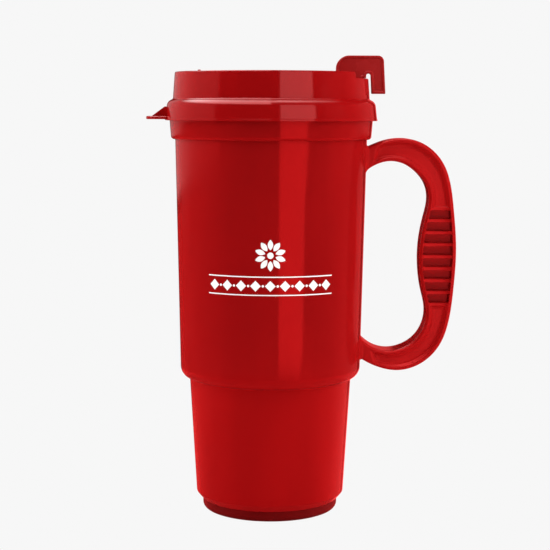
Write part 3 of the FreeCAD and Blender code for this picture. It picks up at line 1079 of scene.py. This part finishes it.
@dataclass
class PrintedBadge:
    """A plain ornament in white ink: a burst of petals over a strip of diamonds between two rules.

    Each motif is a flat patch in (x, z). The patch is wrapped round the shell's front: its x becomes an
    arc length, at the angle x / radius from -Y, and its radius is the wall's plus the ink's height.
    """

    shell: OuterShell
    ink: float = 0.00004
    burst_z: float = 0.1125
    burst_radius: float = 0.0064
    petals: int = 10
    petal_half_width: float = 0.0011
    petal_root: float = 0.34
    petal_fullness: float = 0.8
    eye_radius: float = 0.0013
    strip_z: float = 0.1001
    strip_half_width: float = 0.027
    strip_half_height: float = 0.0037
    rule: float = 0.00045
    diamonds: int = 9
    diamond_share: Pair = (0.36, 0.6)
    dot_radius: float = 0.0005

    def wrap(self, flat: np.ndarray, lift: float) -> np.ndarray:
        """Lay flat places on the shell.

        Args:
            flat: places in (x, z), of shape (..., 2).
            lift: how far above the shell's surface they go.

        Returns:
            Places of shape (..., 3).
        """
        radius = self.shell.radius(flat[..., 1])
        angle = flat[..., 0] / radius
        out = radius + lift
        return np.stack([out * np.sin(angle), -out * np.cos(angle), flat[..., 1]], axis=-1)

    def patch(self, flat: np.ndarray) -> tuple[np.ndarray, list[list[int]]]:
        """Turn a grid of flat places into a thin closed slab of ink.

        Args:
            flat: places of shape (row, column, 2).

        Returns:
            The slab's vertices and faces.
        """
        rows, columns = flat.shape[:2]
        top, bottom = self.wrap(flat, self.ink), self.wrap(flat, -self.ink)
        size = rows * columns
        faces = grid_faces(rows, columns, False, False)
        number = np.arange(size).reshape(rows, columns)
        border = np.concatenate([number[0], number[1:, -1], number[-1, -2::-1], number[-2:0:-1, 0]])
        after = np.roll(border, -1)
        sides = np.stack([border, after, after + size, border + size], axis=1)
        every = np.concatenate([faces, faces[:, ::-1] + size, sides])
        return np.concatenate([top.reshape(-1, 3), bottom.reshape(-1, 3)]), every.tolist()

    def petal(self, angle: float) -> np.ndarray:
        """Shape one petal, whose half width goes as sin(pi * t) ** fullness along its length.

        Args:
            angle: which way it points, from straight up.

        Returns:
            Flat places of shape (row, column, 2).
        """
        along, side = np.meshgrid(np.linspace(0.02, 0.98, 14), np.linspace(-1.0, 1.0, 6), indexing="ij")
        reach = self.burst_radius * (self.petal_root + (1.0 - self.petal_root) * along)
        half = self.petal_half_width * np.sin(math.pi * along) ** self.petal_fullness * side
        return np.stack([reach * math.sin(angle) + half * math.cos(angle),
                         self.burst_z + reach * math.cos(angle) - half * math.sin(angle)], axis=-1)

    def disc(self, x: float, z: float, radius: float) -> np.ndarray:
        """Shape a round dot, as a square grid mapped to a disc by x * sqrt(1 - y * y / 2).

        Args:
            x: its middle across.
            z: its middle's height.
            radius: its radius.

        Returns:
            Flat places of shape (row, column, 2).
        """
        a, b = np.meshgrid(np.linspace(-1.0, 1.0, 9), np.linspace(-1.0, 1.0, 9), indexing="ij")
        return np.stack([x + radius * a * np.sqrt(1.0 - b * b / 2.0),
                         z + radius * b * np.sqrt(1.0 - a * a / 2.0)], axis=-1)

    def diamond(self, x: float, half_width: float, half_height: float) -> np.ndarray:
        """Shape a diamond, as a square grid turned by an eighth.

        Args:
            x: its middle across.
            half_width: half its width.
            half_height: half its height.

        Returns:
            Flat places of shape (row, column, 2).
        """
        a, b = np.meshgrid(np.linspace(-1.0, 1.0, 7), np.linspace(-1.0, 1.0, 7), indexing="ij")
        return np.stack([x + half_width * (a + b) / 2.0,
                         self.strip_z + half_height * (a - b) / 2.0], axis=-1)

    def bar(self, z: float) -> np.ndarray:
        """A level rule across the strip."""
        a, b = np.meshgrid(np.linspace(-1.0, 1.0, 61), np.linspace(-0.5, 0.5, 3), indexing="ij")
        return np.stack([self.strip_half_width * a, z + self.rule * b], axis=-1)

    def patches(self) -> list[np.ndarray]:
        """Shape every motif.

        Returns:
            The motifs' flat grids.
        """
        found = [self.petal(2.0 * math.pi * index / self.petals) for index in range(self.petals)]
        found.append(self.disc(0.0, self.burst_z, self.eye_radius))
        pitch = 2.0 * self.strip_half_width / self.diamonds
        for index in range(self.diamonds):
            x = (index - (self.diamonds - 1) / 2.0) * pitch
            found.append(self.diamond(x, self.diamond_share[0] * pitch,
                                      self.diamond_share[1] * self.strip_half_height))
            if index:
                found.append(self.disc(x - pitch / 2.0, self.strip_z, self.dot_radius))
        found += [self.bar(self.strip_z + side * self.strip_half_height) for side in (-1.0, 1.0)]
        return found

    def build(self, wardrobe: Wardrobe) -> None:
        """Print every motif as one piece of ink.

        Args:
            wardrobe: the finishes.
        """
        vertices, faces, start = [], [], 0
        for flat in self.patches():
            places, rows = self.patch(flat)
            vertices.append(places)
            faces += [[number + start for number in row] for row in rows]
            start += len(places)
        made = piece("printed_badge", np.concatenate(vertices), faces)
        wardrobe.fit(made, Body.MUG, Finishes.INK)


# ---------------------------------------------------------------------------------------------
# The lid
# ---------------------------------------------------------------------------------------------


@dataclass
class SipOpening:
    """The curved slot that the drink comes out of, shared by the lid's deck and the shutter."""

    radius: float = 0.0305
    width: float = 0.006
    half_angle: float = 11.0
    chamfer: float = 0.0003

    def cutter(self, angle: float, low: float, high: float) -> bpy.types.Object:
        """A closed cutter: a band of the circle with round ends, a little wider at its top edge.

        Args:
            angle: where its middle lies, in degrees from +X.
            low: its lower level.
            high: the level of the surface that it opens through.

        Returns:
            The cutter.
        """
        half = self.width / 2.0
        straight = math.radians(self.half_angle) - half / self.radius
        outer = np.linspace(-straight, straight, 12)
        turn = np.linspace(0.0, math.pi, 12)[1:-1]
        rings = []
        levels = ((0.0, low), (0.0, high - self.chamfer), (2.0 * self.chamfer, high + self.chamfer))
        for grow, level in levels:
            reach = half + grow
            bands = [self.arc(outer, self.radius + reach), self.end(straight, turn, reach),
                     self.arc(outer[::-1], self.radius - reach), self.end(-straight, turn + math.pi, reach)]
            ring = np.concatenate(bands)
            rings.append(np.column_stack([ring, np.full(len(ring), level)]))
        places = np.stack(rings)
        shift = math.radians(angle)
        rotation = np.array([[math.cos(shift), math.sin(shift), 0.0],
                             [-math.sin(shift), math.cos(shift), 0.0], [0.0, 0.0, 1.0]])
        count = places.shape[1]
        faces = grid_faces(3, count, False, True).tolist()
        faces += [list(range(count)), list(range(2 * count, 3 * count))]
        return piece("sip_cutter", places @ rotation, faces)

    @staticmethod
    def arc(angles: np.ndarray, radius: float) -> np.ndarray:
        """Points at one radius."""
        return np.stack([radius * np.cos(angles), radius * np.sin(angles)], axis=1)

    def end(self, angle: float, turn: np.ndarray, reach: float) -> np.ndarray:
        """Round off the band's end with a half circle.

        Args:
            angle: where the end lies.
            turn: the half circle's own angles, from straight outwards.
            reach: its radius.

        Returns:
            Places of shape (point, 2).
        """
        centre = np.array([math.cos(angle), math.sin(angle)]) * self.radius
        spread = angle + turn
        return centre + reach * np.stack([np.cos(spread), np.sin(spread)], axis=1)


def round_cutter(name: str, x: float, y: float, radius: float, low: float,
                 high: float) -> bpy.types.Object:
    """A plain round cutter, from low to high.

    Args:
        name: the cutter's name.
        x: its middle along X.
        y: its middle along Y.
        radius: its radius.
        low: its lower level.
        high: its upper level.

    Returns:
        The cutter.
    """
    made = turned(name, Outline([(0.0, low, 0.0), (radius, low, 0.0), (radius, high, 0.0),
                                 (0.0, high, 0.0)], closed=False), 32)
    made.data.transform(Matrix.Translation((x, y, 0.0)))
    return made


@dataclass
class PressOnLid:
    """Skirt, shoulder, raised ring and deck, with a plug that enters the liner's mouth.

    The skirt ends in a lip, which starts at lip_height above skirt_z and hangs lip_drop below it.
    The lid is turned from one section. Within the notch, the ring's rim gives way to a second section
    with as many points, whose top is lower. The two are blended by a smooth step over
    a short arc at each end of the notch.
    """

    ring_top_radius: float = 0.04055
    ring_foot: Pair = (0.04137, 0.1749)
    shoulder: Pair = (0.04378, 0.1737)
    skirt_radius: float = 0.0445
    skirt_z: float = 0.1664
    lip_flare: float = 0.0003
    lip_height: float = 0.0007
    lip_drop: float = 0.0004
    bore: float = 0.04285
    bore_top: float = 0.1715
    ring_bore_z: float = 0.1742
    ring_draft: float = 0.0005
    cutter_reach: float = 0.001
    deck_z: float = 0.1817
    deck_thickness: float = 0.0018
    deck_radius: float = 0.03875
    wall: float = 0.0017
    plug: Pair = (0.0363, 0.034)
    seal_groove: Triple = (0.0354, 0.1642, 0.1672)
    rim_height: float = 0.0044
    notch_height: float = 0.0019
    notch_half_angle: float = 32.5
    notch_edge: float = 0.35
    rivet_radius: float = 0.0025
    vent: Pair = (0.022, 0.00125)
    plug_z: float = field(default_factory=lambda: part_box("lid_body")[0].z)

    def outline(self, notched: bool) -> Outline:
        """Section from the rim down the outside and back up the inside to the deck's middle.

        Args:
            notched: whether the rim is cut down for the thumb fin.

        Returns:
            The section, in (r, z), with the same corners either way.
        """
        top = self.deck_z + (self.notch_height if notched else self.rim_height)
        under = self.deck_z - self.deck_thickness
        share = (top - self.ring_foot[1]) / (self.deck_z + self.rim_height - self.ring_foot[1])
        rim_radius = self.ring_foot[0] + share * (self.ring_top_radius - self.ring_foot[0])
        inner_ring = self.ring_foot[0] - self.wall
        groove_radius, groove_low, groove_high = self.seal_groove
        return Outline([
            (0.0, self.deck_z, 0.0),
            (self.deck_radius, self.deck_z, 0.0004),
            (self.deck_radius, top, 0.0004),
            (rim_radius, top, 0.00055),
            (*self.ring_foot, 0.0007),
            (*self.shoulder, 0.003),
            (self.skirt_radius, self.skirt_z + self.lip_height, 0.0006),
            (self.skirt_radius + self.lip_flare, self.skirt_z - self.lip_drop, 0.0002),
            (self.bore, self.skirt_z - self.lip_drop, 0.0003),
            (self.bore, self.bore_top, 0.0004),
            (inner_ring, self.ring_bore_z, 0.0006),
            (inner_ring - self.ring_draft, under, 0.0006),
            (self.plug[0], under, 0.0004),
            (self.plug[0], groove_high, 0.0001),
            (groove_radius, groove_high, 0.0001),
            (groove_radius, groove_low, 0.0001),
            (self.plug[0], groove_low, 0.0001),
            (self.plug[0], self.plug_z + 0.001, 0.0003),
            (self.plug[0] - 0.0007, self.plug_z, 0.0003),
            (self.plug[1], self.plug_z, 0.0003),
            (self.plug[1], under, 0.0008),
            (0.0, under, 0.0),
        ], closed=False, spacing=0.003)

    def surface(self) -> tuple[np.ndarray, int]:
        """Turn the blended section.

        Returns:
            Places of shape (section point, angle, 3), and how many angles there are.
        """
        whole = self.outline(False)
        rim = whole.points()
        notch_outline = self.outline(True)
        notch_outline.run_counts = whole.run_counts
        notch = notch_outline.points()
        even = np.arange(0.0, 360.0, 1.5)
        edge = self.notch_half_angle + np.linspace(-1.0, 1.0, 11) * self.notch_edge
        angle = np.unique(np.round(np.concatenate([even, edge, 360.0 - edge]), 4))
        from_handle = np.abs((angle + 180.0) % 360.0 - 180.0)
        low, high = self.notch_half_angle - self.notch_edge, self.notch_half_angle + self.notch_edge
        share = smoothstep(from_handle, low, high)
        section = notch[:, None] * (1.0 - share)[:, None] + rim[:, None] * share[:, None]
        turn = np.radians(angle)
        places = np.stack([section[:, :, 0] * np.cos(turn), section[:, :, 0] * np.sin(turn),
                           section[:, :, 1]], axis=-1)
        return places, len(angle)

    def build(self, wardrobe: Wardrobe, sip: SipOpening) -> None:
        """Make the lid and open its sip hole, vent and pivot hole.

        Args:
            wardrobe: the finishes.
            sip: the opening for the drink.
        """
        places, angles = self.surface()
        made = piece("lid_shell", places, grid_faces(places.shape[0], angles, False, True))
        low = self.deck_z - self.deck_thickness - self.cutter_reach
        high = self.deck_z + self.cutter_reach
        cut(made, [
            sip.cutter(180.0, low, self.deck_z),
            round_cutter("vent_cutter", self.vent[0], 0.0, self.vent[1], low, high),
            round_cutter("pivot_cutter", 0.0, 0.0, self.rivet_radius, low, high)])
        wardrobe.fit(made, Body.LID, Finishes.LID, "lid_body")


@dataclass
class PullTab:
    """The flat tongue opposite the handle, stiffened by three gussets."""

    lid: PressOnLid
    tip_x: float = field(default_factory=lambda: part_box("lid_body")[0].x)
    width: float = 0.02
    thickness: float = 0.0013
    rounding: float = 0.005
    gusset_tip: float = -0.05
    gusset_top: float = 0.1717
    gusset_thickness: float = 0.0012
    gusset_spacing: float = 0.0065
    gusset_foot: float = 0.0006
    root_inset: float = 0.0006

    def build(self, wardrobe: Wardrobe) -> None:
        """Make the tongue and its gussets.

        Args:
            wardrobe: the finishes.
        """
        half = self.width / 2.0
        root = -self.lid.bore - self.root_inset
        middle = self.lid.skirt_z + self.thickness / 2.0
        tongue = plate("pull_tab", Outline([
            (root, -half, 0.0002),
            (root, half, 0.0002),
            (self.tip_x, half, self.rounding),
            (self.tip_x, -half, self.rounding),
        ]), edge_steps(self.thickness / 2.0, 0.0005), Plane.LEVEL)
        tongue.data.transform(Matrix.Translation((0.0, 0.0, middle)))
        wardrobe.fit(tongue, Body.LID, Finishes.LID)
        for index in (-1, 0, 1):
            gusset = plate(f"tab_gusset_{index + 2}", Outline([
                (root, middle, 0.0001),
                (self.gusset_tip, middle, 0.0001),
                (self.gusset_tip, middle + self.gusset_foot, 0.0002),
                (-self.lid.skirt_radius, self.gusset_top, 0.0002),
                (root, self.gusset_top, 0.0001),
            ]), edge_steps(self.gusset_thickness / 2.0, 0.00015), Plane.UPRIGHT)
            gusset.data.transform(Matrix.Translation((0.0, index * self.gusset_spacing, 0.0)))
            wardrobe.fit(gusset, Body.LID, Finishes.LID)


@dataclass
class RimPip:
    """The small raised pip on the lid's rim."""

    lid: PressOnLid
    radius: float = 0.0006
    angle: float = -137.0
    height: float = 0.0004

    def build(self, wardrobe: Wardrobe) -> None:
        """Make the pip, a small drum with a rounded rim.

        Args:
            wardrobe: the finishes.
        """
        top = self.lid.deck_z + self.lid.rim_height
        made = turned("rim_pip", Outline([
            (0.0, top - self.height, 0.0), (self.radius, top - self.height, 0.0),
            (self.radius, top + self.height, 0.0003), (0.0, top + self.height, 0.0)], closed=False), 24)
        reach = (self.lid.deck_radius + self.lid.ring_top_radius) / 2.0
        turn = math.radians(self.angle)
        made.data.transform(Matrix.Translation((reach * math.cos(turn), reach * math.sin(turn), 0.0)))
        wardrobe.fit(made, Body.LID, Finishes.LID)


@dataclass
class PlugSeal:
    """The soft ring in the plug's groove."""

    groove_radius: float = 0.0354
    radius: float = 0.0365
    lip: float = 0.0004

    def build(self, wardrobe: Wardrobe) -> None:
        """Make the ring, whose lip is a blunt wedge.

        Args:
            wardrobe: the finishes.
        """
        low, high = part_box("lid_seal")[0].z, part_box("lid_seal")[1].z
        back = self.radius - self.lip
        made = turned("plug_seal", Outline([
            (self.groove_radius, low, 0.0001),
            (back, low, 0.0002),
            (self.radius, (low + high) / 2.0, 0.0004),
            (back, high, 0.0002),
            (self.groove_radius, high, 0.0001),
        ]), 192)
        wardrobe.fit(made, Body.LID, Finishes.SEAL, "lid_seal")


@dataclass
class PivotRivet:
    """The domed rivet that the shutter turns on."""

    radius: float = 0.0025
    head_radius: float = 0.005
    flange_radius: float = 0.0045
    flange_thickness: float = 0.0015
    head_thickness: float = 0.0011
    head_slope: float = 0.0008

    def build(self, wardrobe: Wardrobe) -> None:
        """Make the rivet.

        Args:
            wardrobe: the finishes.
        """
        low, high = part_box("shutter_rivet")[0].z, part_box("shutter_rivet")[1].z
        head = high - self.head_thickness
        made = turned("pivot_rivet", Outline([
            (0.0, low, 0.0),
            (self.flange_radius, low, 0.0004),
            (self.flange_radius, low + self.flange_thickness, 0.0001),
            (self.radius, low + self.flange_thickness, 0.0001),
            (self.radius, head, 0.0001),
            (self.head_radius, head, 0.0002),
            (self.head_radius - self.head_slope, high, 0.0008),
            (0.0, high, 0.0),
        ], closed=False, spacing=0.001), 96)
        wardrobe.fit(made, Body.LID, Finishes.SHUTTER, "shutter_rivet")


@dataclass
class SwivelShutter:
    """The disc on the deck, and the thumb fin that steps over the ring."""

    thickness: float = 0.0013
    border_height: float = 0.0004
    border_width: float = 0.0018
    radius: float = 0.03835
    bore: float = 0.00258
    swivel: float = 28.0
    vent: Pair = (0.022, 0.00125)
    low: float = 0.182
    fin_half: float = 0.0014
    fin_rounding: float = 0.0004
    panel_depth: float = 0.00035
    panel_border: float = 0.0009
    inner_x: float = 0.0271
    outer_top_x: float = 0.0471
    leg_x: float = 0.0421
    slot: Triple = (0.0398, 0.04165, 0.18575)
    neck: Pair = (0.0383, 0.1839)
    fin_sink: float = 0.0002
    panel_slope: float = 0.0004
    cutter_reach: float = 0.001

    def disc(self) -> Outline:
        """Section of the disc with its raised border.

        Returns:
            The outline.
        """
        top = self.low + self.thickness
        border = top + self.border_height
        inside = self.radius - self.border_width
        return Outline([
            (self.bore, self.low, 0.0001),
            (self.radius, self.low, 0.0003),
            (self.radius, border, 0.0003),
            (inside, border, 0.0002),
            (inside, top, 0.0002),
            (self.bore, top, 0.0002),
        ], spacing=0.003)

    def fin_outline(self) -> Outline:
        """The fin from the side: a rounded flag whose leg hangs outside the ring.

        Returns:
            The outline.
        """
        low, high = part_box("swivel_shutter")
        slot_inner, slot_outer, slot_top = self.slot
        root = self.low + self.fin_sink
        return Outline([
            (self.inner_x, root, 0.0001),
            (self.inner_x, high.z, 0.0055),
            (self.outer_top_x, high.z, 0.0025),
            (high.x, low.z, 0.0004),
            (self.leg_x, low.z, 0.0004),
            (slot_outer, slot_top, 0.00088),
            (slot_inner, slot_top, 0.00088),
            (slot_inner, self.neck[1], 0.0002),
            (*self.neck, 0.0001),
            (self.neck[0], root, 0.0001),
        ], arc_points=13, spacing=0.002)

    def fin_steps(self) -> list[Pair]:
        """Steps across the fin: sunk panel, raised border, rounded edge, and the same again.

        Returns:
            (inset, height) steps from the low face to the high face.
        """
        edge = edge_steps(self.fin_half, self.fin_rounding)
        sunk = self.fin_half - self.panel_depth
        ramp = np.linspace(0.0, 1.0, 5)
        rise = smoothstep(ramp, 0.0, 1.0)
        inset = self.panel_border + self.panel_slope * (1.0 - ramp)
        height = -sunk - self.panel_depth * rise
        low = [(float(a), float(b)) for a, b in zip(inset, height)]
        return low + edge + [(a, -b) for a, b in reversed(low)]

    def build(self, wardrobe: Wardrobe, sip: SipOpening) -> None:
        """Make the disc with its apertures, and the fin.

        Args:
            wardrobe: the finishes.
            sip: the opening for the drink.
        """
        made = turned("shutter_disc", self.disc(), 240)
        top = self.low + self.thickness
        below, above = self.low - self.cutter_reach, top + self.cutter_reach
        cutters = []
        for side in (-1.0, 1.0):
            turn = math.radians(side * self.swivel)
            x, y = self.vent[0] * math.cos(turn), self.vent[0] * math.sin(turn)
            cutters.append(sip.cutter(180.0 + side * self.swivel, below, top))
            cutters.append(round_cutter("vent_cutter", x, y, self.vent[1], below, above))
        cut(made, cutters)
        wardrobe.fit(made, Body.SHUTTER, Finishes.SHUTTER, "swivel_shutter")
        fin = plate("thumb_fin", self.fin_outline(), self.fin_steps(), Plane.UPRIGHT)
        wardrobe.fit(fin, Body.SHUTTER, Finishes.SHUTTER)


# ---------------------------------------------------------------------------------------------
# The studio
# ---------------------------------------------------------------------------------------------


@dataclass(frozen=True)
class Card:
    """A glowing studio card on a sphere round the mug, that shows only in reflections.

    Each row is (elevation, azimuth from, azimuth to), from the lowest up. Azimuth 0 is straight in front
    of the mug and grows towards the handle. Each fade is the share of the card's width or height over
    which it dims to nothing.
    """

    name: str
    rows: tuple[Triple, ...]
    glow: float
    fade_sides: Pair = (0.0, 0.0)
    fade_ends: Pair = (0.0, 0.0)
    distance: float = 1.6
    colour: Triple = (1.0, 1.0, 1.0)
    across: int = 41

    def places(self, centre_z: float) -> np.ndarray:
        """Spread the card: azimuth a and elevation e lie at d (sin a cos e, -cos a cos e, sin e).

        Args:
            centre_z: the height of the sphere's centre.

        Returns:
            Places of shape (row, column, 3).
        """
        table = np.radians(np.array(self.rows))
        share = np.linspace(0.0, 1.0, self.across)
        azimuth = table[:, 1:2] * (1.0 - share) + table[:, 2:3] * share
        rise = table[:, :1] + 0.0 * share
        direction = [np.sin(azimuth) * np.cos(rise), -np.cos(azimuth) * np.cos(rise), np.sin(rise)]
        return self.distance * np.stack(direction, axis=-1) + np.array([0.0, 0.0, centre_z])


@dataclass(frozen=True)
class Softbox:
    """An area lamp that lights the plastic's own colour, aimed at the mug's middle."""

    name: str
    azimuth: float
    elevation: float
    distance: float
    size: Pair
    watts: float


@dataclass
class Studio:
    """Pale floor, pale surround, soft lamps, and cards for the gloss."""

    pale: float = 0.93
    fill: float = 0.16
    floor_half_side: float = 30.0
    floor_z: float = -0.0001
    floor_albedo: float = 0.8
    centre_z: float = 0.1
    cards: tuple[Card, ...] = (
        Card("strip_card", ((-15.5, 9.5, 36.0), (-14.0, 9.5, 40.0), (-1.7, 9.3, 40.0), (9.0, 9.0, 47.5),
                            (40.0, 9.0, 47.5)), 2.0, (0.03, 0.03), (0.03, 0.1), distance=0.5),
        Card("left_card", ((-3.0, -165.0, -61.0), (30.0, -165.0, -61.0)), 0.55,
             (0.05, 0.03), (0.03, 0.1), colour=(1.0, 0.65, 0.65)),
        Card("low_left_card", ((-25.0, -165.0, -50.0), (-3.0, -165.0, -50.0)), 0.42,
             (0.05, 0.95), (0.3, 0.03), colour=(1.0, 0.05, 0.05)),
        Card("right_card", ((-35.0, 54.0, 150.0), (30.0, 54.0, 150.0)), 0.66,
             (0.8, 0.03), (0.1, 0.1), colour=(1.0, 0.16, 0.16)),
        Card("back_right_card", ((-35.0, 158.0, 178.0), (30.0, 158.0, 178.0)), 0.9,
             (0.2, 0.2), (0.1, 0.1), colour=(1.0, 0.12, 0.12)),
        Card("ceiling_left", ((28.0, -175.0, 0.0), (50.0, -175.0, 0.0), (89.9, -175.0, 0.0)), 6.0,
             (0.1, 0.0), (0.45, 0.0), colour=(0.85, 1.0, 1.0)),
        Card("ceiling_right", ((45.0, 0.0, 175.0), (68.0, 0.0, 175.0), (89.9, 0.0, 175.0)), 6.0,
             (0.0, 0.1), (1.0, 0.0), colour=(0.85, 1.0, 1.0)),
        Card("floor_card", ((-89.9, -180.0, 180.0), (-60.0, -180.0, 180.0), (-36.0, -180.0, 180.0),
                            (-24.0, -180.0, 180.0), (-15.5, -180.0, 180.0), (-11.5, -180.0, 180.0)), 0.65,
             (0.0, 0.0), (0.0, 0.2), colour=(1.0, 0.07, 0.07)),
    )
    lamps: tuple[Softbox, ...] = (
        Softbox("front_lamp", -35.0, 48.0, 1.4, (1.2, 1.0), 5.8),
        Softbox("right_lamp", 72.0, 25.0, 1.2, (0.6, 1.2), 12.0),
        Softbox("left_lamp", -78.0, 25.0, 1.2, (0.6, 1.2), 7.0),
        Softbox("back_left_lamp", -130.0, 20.0, 1.2, (0.6, 1.2), 17.0),
        Softbox("back_right_lamp", 130.0, 20.0, 1.2, (0.6, 1.2), 15.0),
        Softbox("top_lamp", 0.0, 85.0, 1.2, (1.0, 1.0), 5.6),
    )

    def floor(self) -> None:
        """Lay the floor: pale to the eye, matt to scattered light, and left out of the reflections."""
        side, level = self.floor_half_side, self.floor_z
        made = piece("studio_floor", np.array([[-side, -side, level], [side, -side, level],
                                               [side, side, level], [-side, side, level]]), [[0, 1, 2, 3]])
        bench = NodeBench("pale_floor")
        glow = bench.add("ShaderNodeEmission")
        glow.inputs["Color"].default_value = (self.pale,) * 3 + (1.0,)
        matt = bench.add("ShaderNodeBsdfDiffuse", Color=(self.floor_albedo,) * 3 + (1.0,))
        view = bench.add("ShaderNodeLightPath")
        mix = bench.add("ShaderNodeMixShader")
        bench.wire(view.outputs["Is Camera Ray"], mix.inputs["Fac"])
        bench.wire(matt.outputs["BSDF"], mix.inputs[1])
        bench.wire(glow.outputs["Emission"], mix.inputs[2])
        bench.wire(mix.outputs["Shader"], bench.output.inputs["Surface"])
        made.data.materials.append(bench.material)
        made.visible_glossy = False

    def surround(self) -> None:
        """Set the pale surround, and the dim even fill that lights the mug."""
        world = bpy.data.worlds.new("studio_surround")
        world.use_nodes = True
        tree = world.node_tree
        tree.nodes.clear()
        output = tree.nodes.new("ShaderNodeOutputWorld")
        mix = tree.nodes.new("ShaderNodeMixShader")
        view = tree.nodes.new("ShaderNodeLightPath")
        for slot, level in ((1, self.fill), (2, self.pale)):
            background = tree.nodes.new("ShaderNodeBackground")
            background.inputs["Color"].default_value = (level, level, level, 1.0)
            tree.links.new(background.outputs["Background"], mix.inputs[slot])
        tree.links.new(view.outputs["Is Camera Ray"], mix.inputs["Fac"])
        tree.links.new(mix.outputs["Shader"], output.inputs["Surface"])
        world.cycles_visibility.glossy = False
        bpy.context.scene.world = world

    def hang(self, card: Card) -> None:
        """Hang one card.

        Args:
            card: what to hang.
        """
        places = card.places(self.centre_z)
        rows, columns = places.shape[:2]
        mesh = bpy.data.meshes.new(card.name)
        faces = grid_faces(rows, columns, False, False)
        mesh.from_pydata(places.reshape(-1, 3).tolist(), [], faces.tolist())
        level, across = np.meshgrid(np.linspace(0.0, 1.0, rows), np.linspace(0.0, 1.0, columns),
                                    indexing="ij")
        share = np.stack([across, level], axis=-1)
        layer = mesh.uv_layers.new(name="share")
        order = np.zeros(len(mesh.loops), np.int32)
        mesh.loops.foreach_get("vertex_index", order)
        layer.data.foreach_set("uv", share.reshape(-1, 2)[order].astype(np.float32).ravel())
        made = bpy.data.objects.new(card.name, mesh)
        bpy.context.scene.collection.objects.link(made)
        made.data.materials.append(self.card_material(card))
        made.visible_camera = False
        made.visible_diffuse = False
        made.visible_shadow = False
        made.visible_transmission = False

    def card_material(self, card: Card) -> bpy.types.Material:
        """A clear glow that fades towards the card's edges and hides no card behind it.

        Args:
            card: the card that it is for.

        Returns:
            The material.
        """
        bench = NodeBench(card.name)
        spot = bench.add("ShaderNodeUVMap", uv_map="share")
        split = bench.add("ShaderNodeSeparateXYZ")
        bench.wire(spot.outputs["UV"], split.inputs["Vector"])
        glow = bench.ranged(split.outputs["X"], -1.0, -0.5, 0.0, card.glow)
        for axis, fades in (("X", card.fade_sides), ("Y", card.fade_ends)):
            for start, fade in ((0.0, fades[0]), (1.0, -fades[1])):
                if fade:
                    level = bench.ranged(split.outputs[axis], start, start + fade, 0.0, 1.0)
                    glow = bench.math("MULTIPLY", glow, level)
        shader = bench.add("ShaderNodeEmission")
        shader.inputs["Color"].default_value = card.colour + (1.0,)
        bench.wire(glow, shader.inputs["Strength"])
        clear = bench.add("ShaderNodeBsdfTransparent")
        both = bench.add("ShaderNodeAddShader")
        bench.wire(shader.outputs["Emission"], both.inputs[0])
        bench.wire(clear.outputs["BSDF"], both.inputs[1])
        bench.wire(both.outputs["Shader"], bench.output.inputs["Surface"])
        return bench.material

    def light(self, lamp: Softbox) -> None:
        """Set up one soft lamp.

        Args:
            lamp: what to set up.
        """
        data = bpy.data.lights.new(lamp.name, "AREA")
        data.shape = "RECTANGLE"
        data.size, data.size_y = lamp.size
        data.energy = lamp.watts
        turn, rise = math.radians(lamp.azimuth), math.radians(lamp.elevation)
        away = Vector((math.sin(turn) * math.cos(rise), -math.cos(turn) * math.cos(rise), math.sin(rise)))
        made = bpy.data.objects.new(lamp.name, data)
        made.location = away * lamp.distance + Vector((0.0, 0.0, self.centre_z))
        made.rotation_euler = away.to_track_quat("Z", "Y").to_euler()
        made.visible_camera = False
        made.visible_glossy = False
        bpy.context.scene.collection.objects.link(made)

    def build(self) -> None:
        """Set up the whole studio."""
        self.floor()
        self.surround()
        for card in self.cards:
            self.hang(card)
        for lamp in self.lamps:
            self.light(lamp)
        LOG.info("studio: %d cards and %d lamps", len(self.cards), len(self.lamps))


@dataclass
class Viewpoint:
    """The camera: a long lens a little below the rim, looking slightly down."""

    place: Triple = (0.00187, -0.63643, 0.17082)
    pitch: float = -6.315
    roll: float = 0.25
    lens: float = 98.18

    def build(self) -> None:
        """Place the camera and set plain colour handling."""
        data = bpy.data.cameras.new("viewpoint")
        data.lens = self.lens
        data.sensor_width = 36.0
        data.clip_start = 0.01
        made = bpy.data.objects.new("viewpoint", data)
        tilt = Matrix.Rotation(math.radians(90.0 + self.pitch), 4, "X")
        lean = Matrix.Rotation(math.radians(self.roll), 4, "Z")
        made.matrix_world = Matrix.Translation(self.place) @ tilt @ lean
        bpy.context.scene.collection.objects.link(made)
        bpy.context.scene.camera = made
        bpy.context.scene.view_settings.view_transform = "Standard"


def main() -> None:
    """Build the mug in its own order: body, print, lid, shutter, then the studio round it."""
    logging.basicConfig(level=logging.INFO, format="%(name)s %(message)s")
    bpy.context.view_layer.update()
    wardrobe = Wardrobe()
    Viewpoint().build()
    shell = OuterShell()
    shell.build(wardrobe)
    BaseCap().build(wardrobe)
    InnerLiner().build(wardrobe)
    LoopHandle(shell).build(wardrobe)
    PrintedBadge(shell).build(wardrobe)
    sip = SipOpening()
    lid = PressOnLid()
    lid.build(wardrobe, sip)
    PullTab(lid).build(wardrobe)
    RimPip(lid).build(wardrobe)
    PlugSeal().build(wardrobe)
    PivotRivet().build(wardrobe)
    SwivelShutter().build(wardrobe, sip)
    wardrobe.dress(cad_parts["foam_insulation"], Finishes.FOAM)
    Studio().build()


if __name__ == "__main__":
    main()
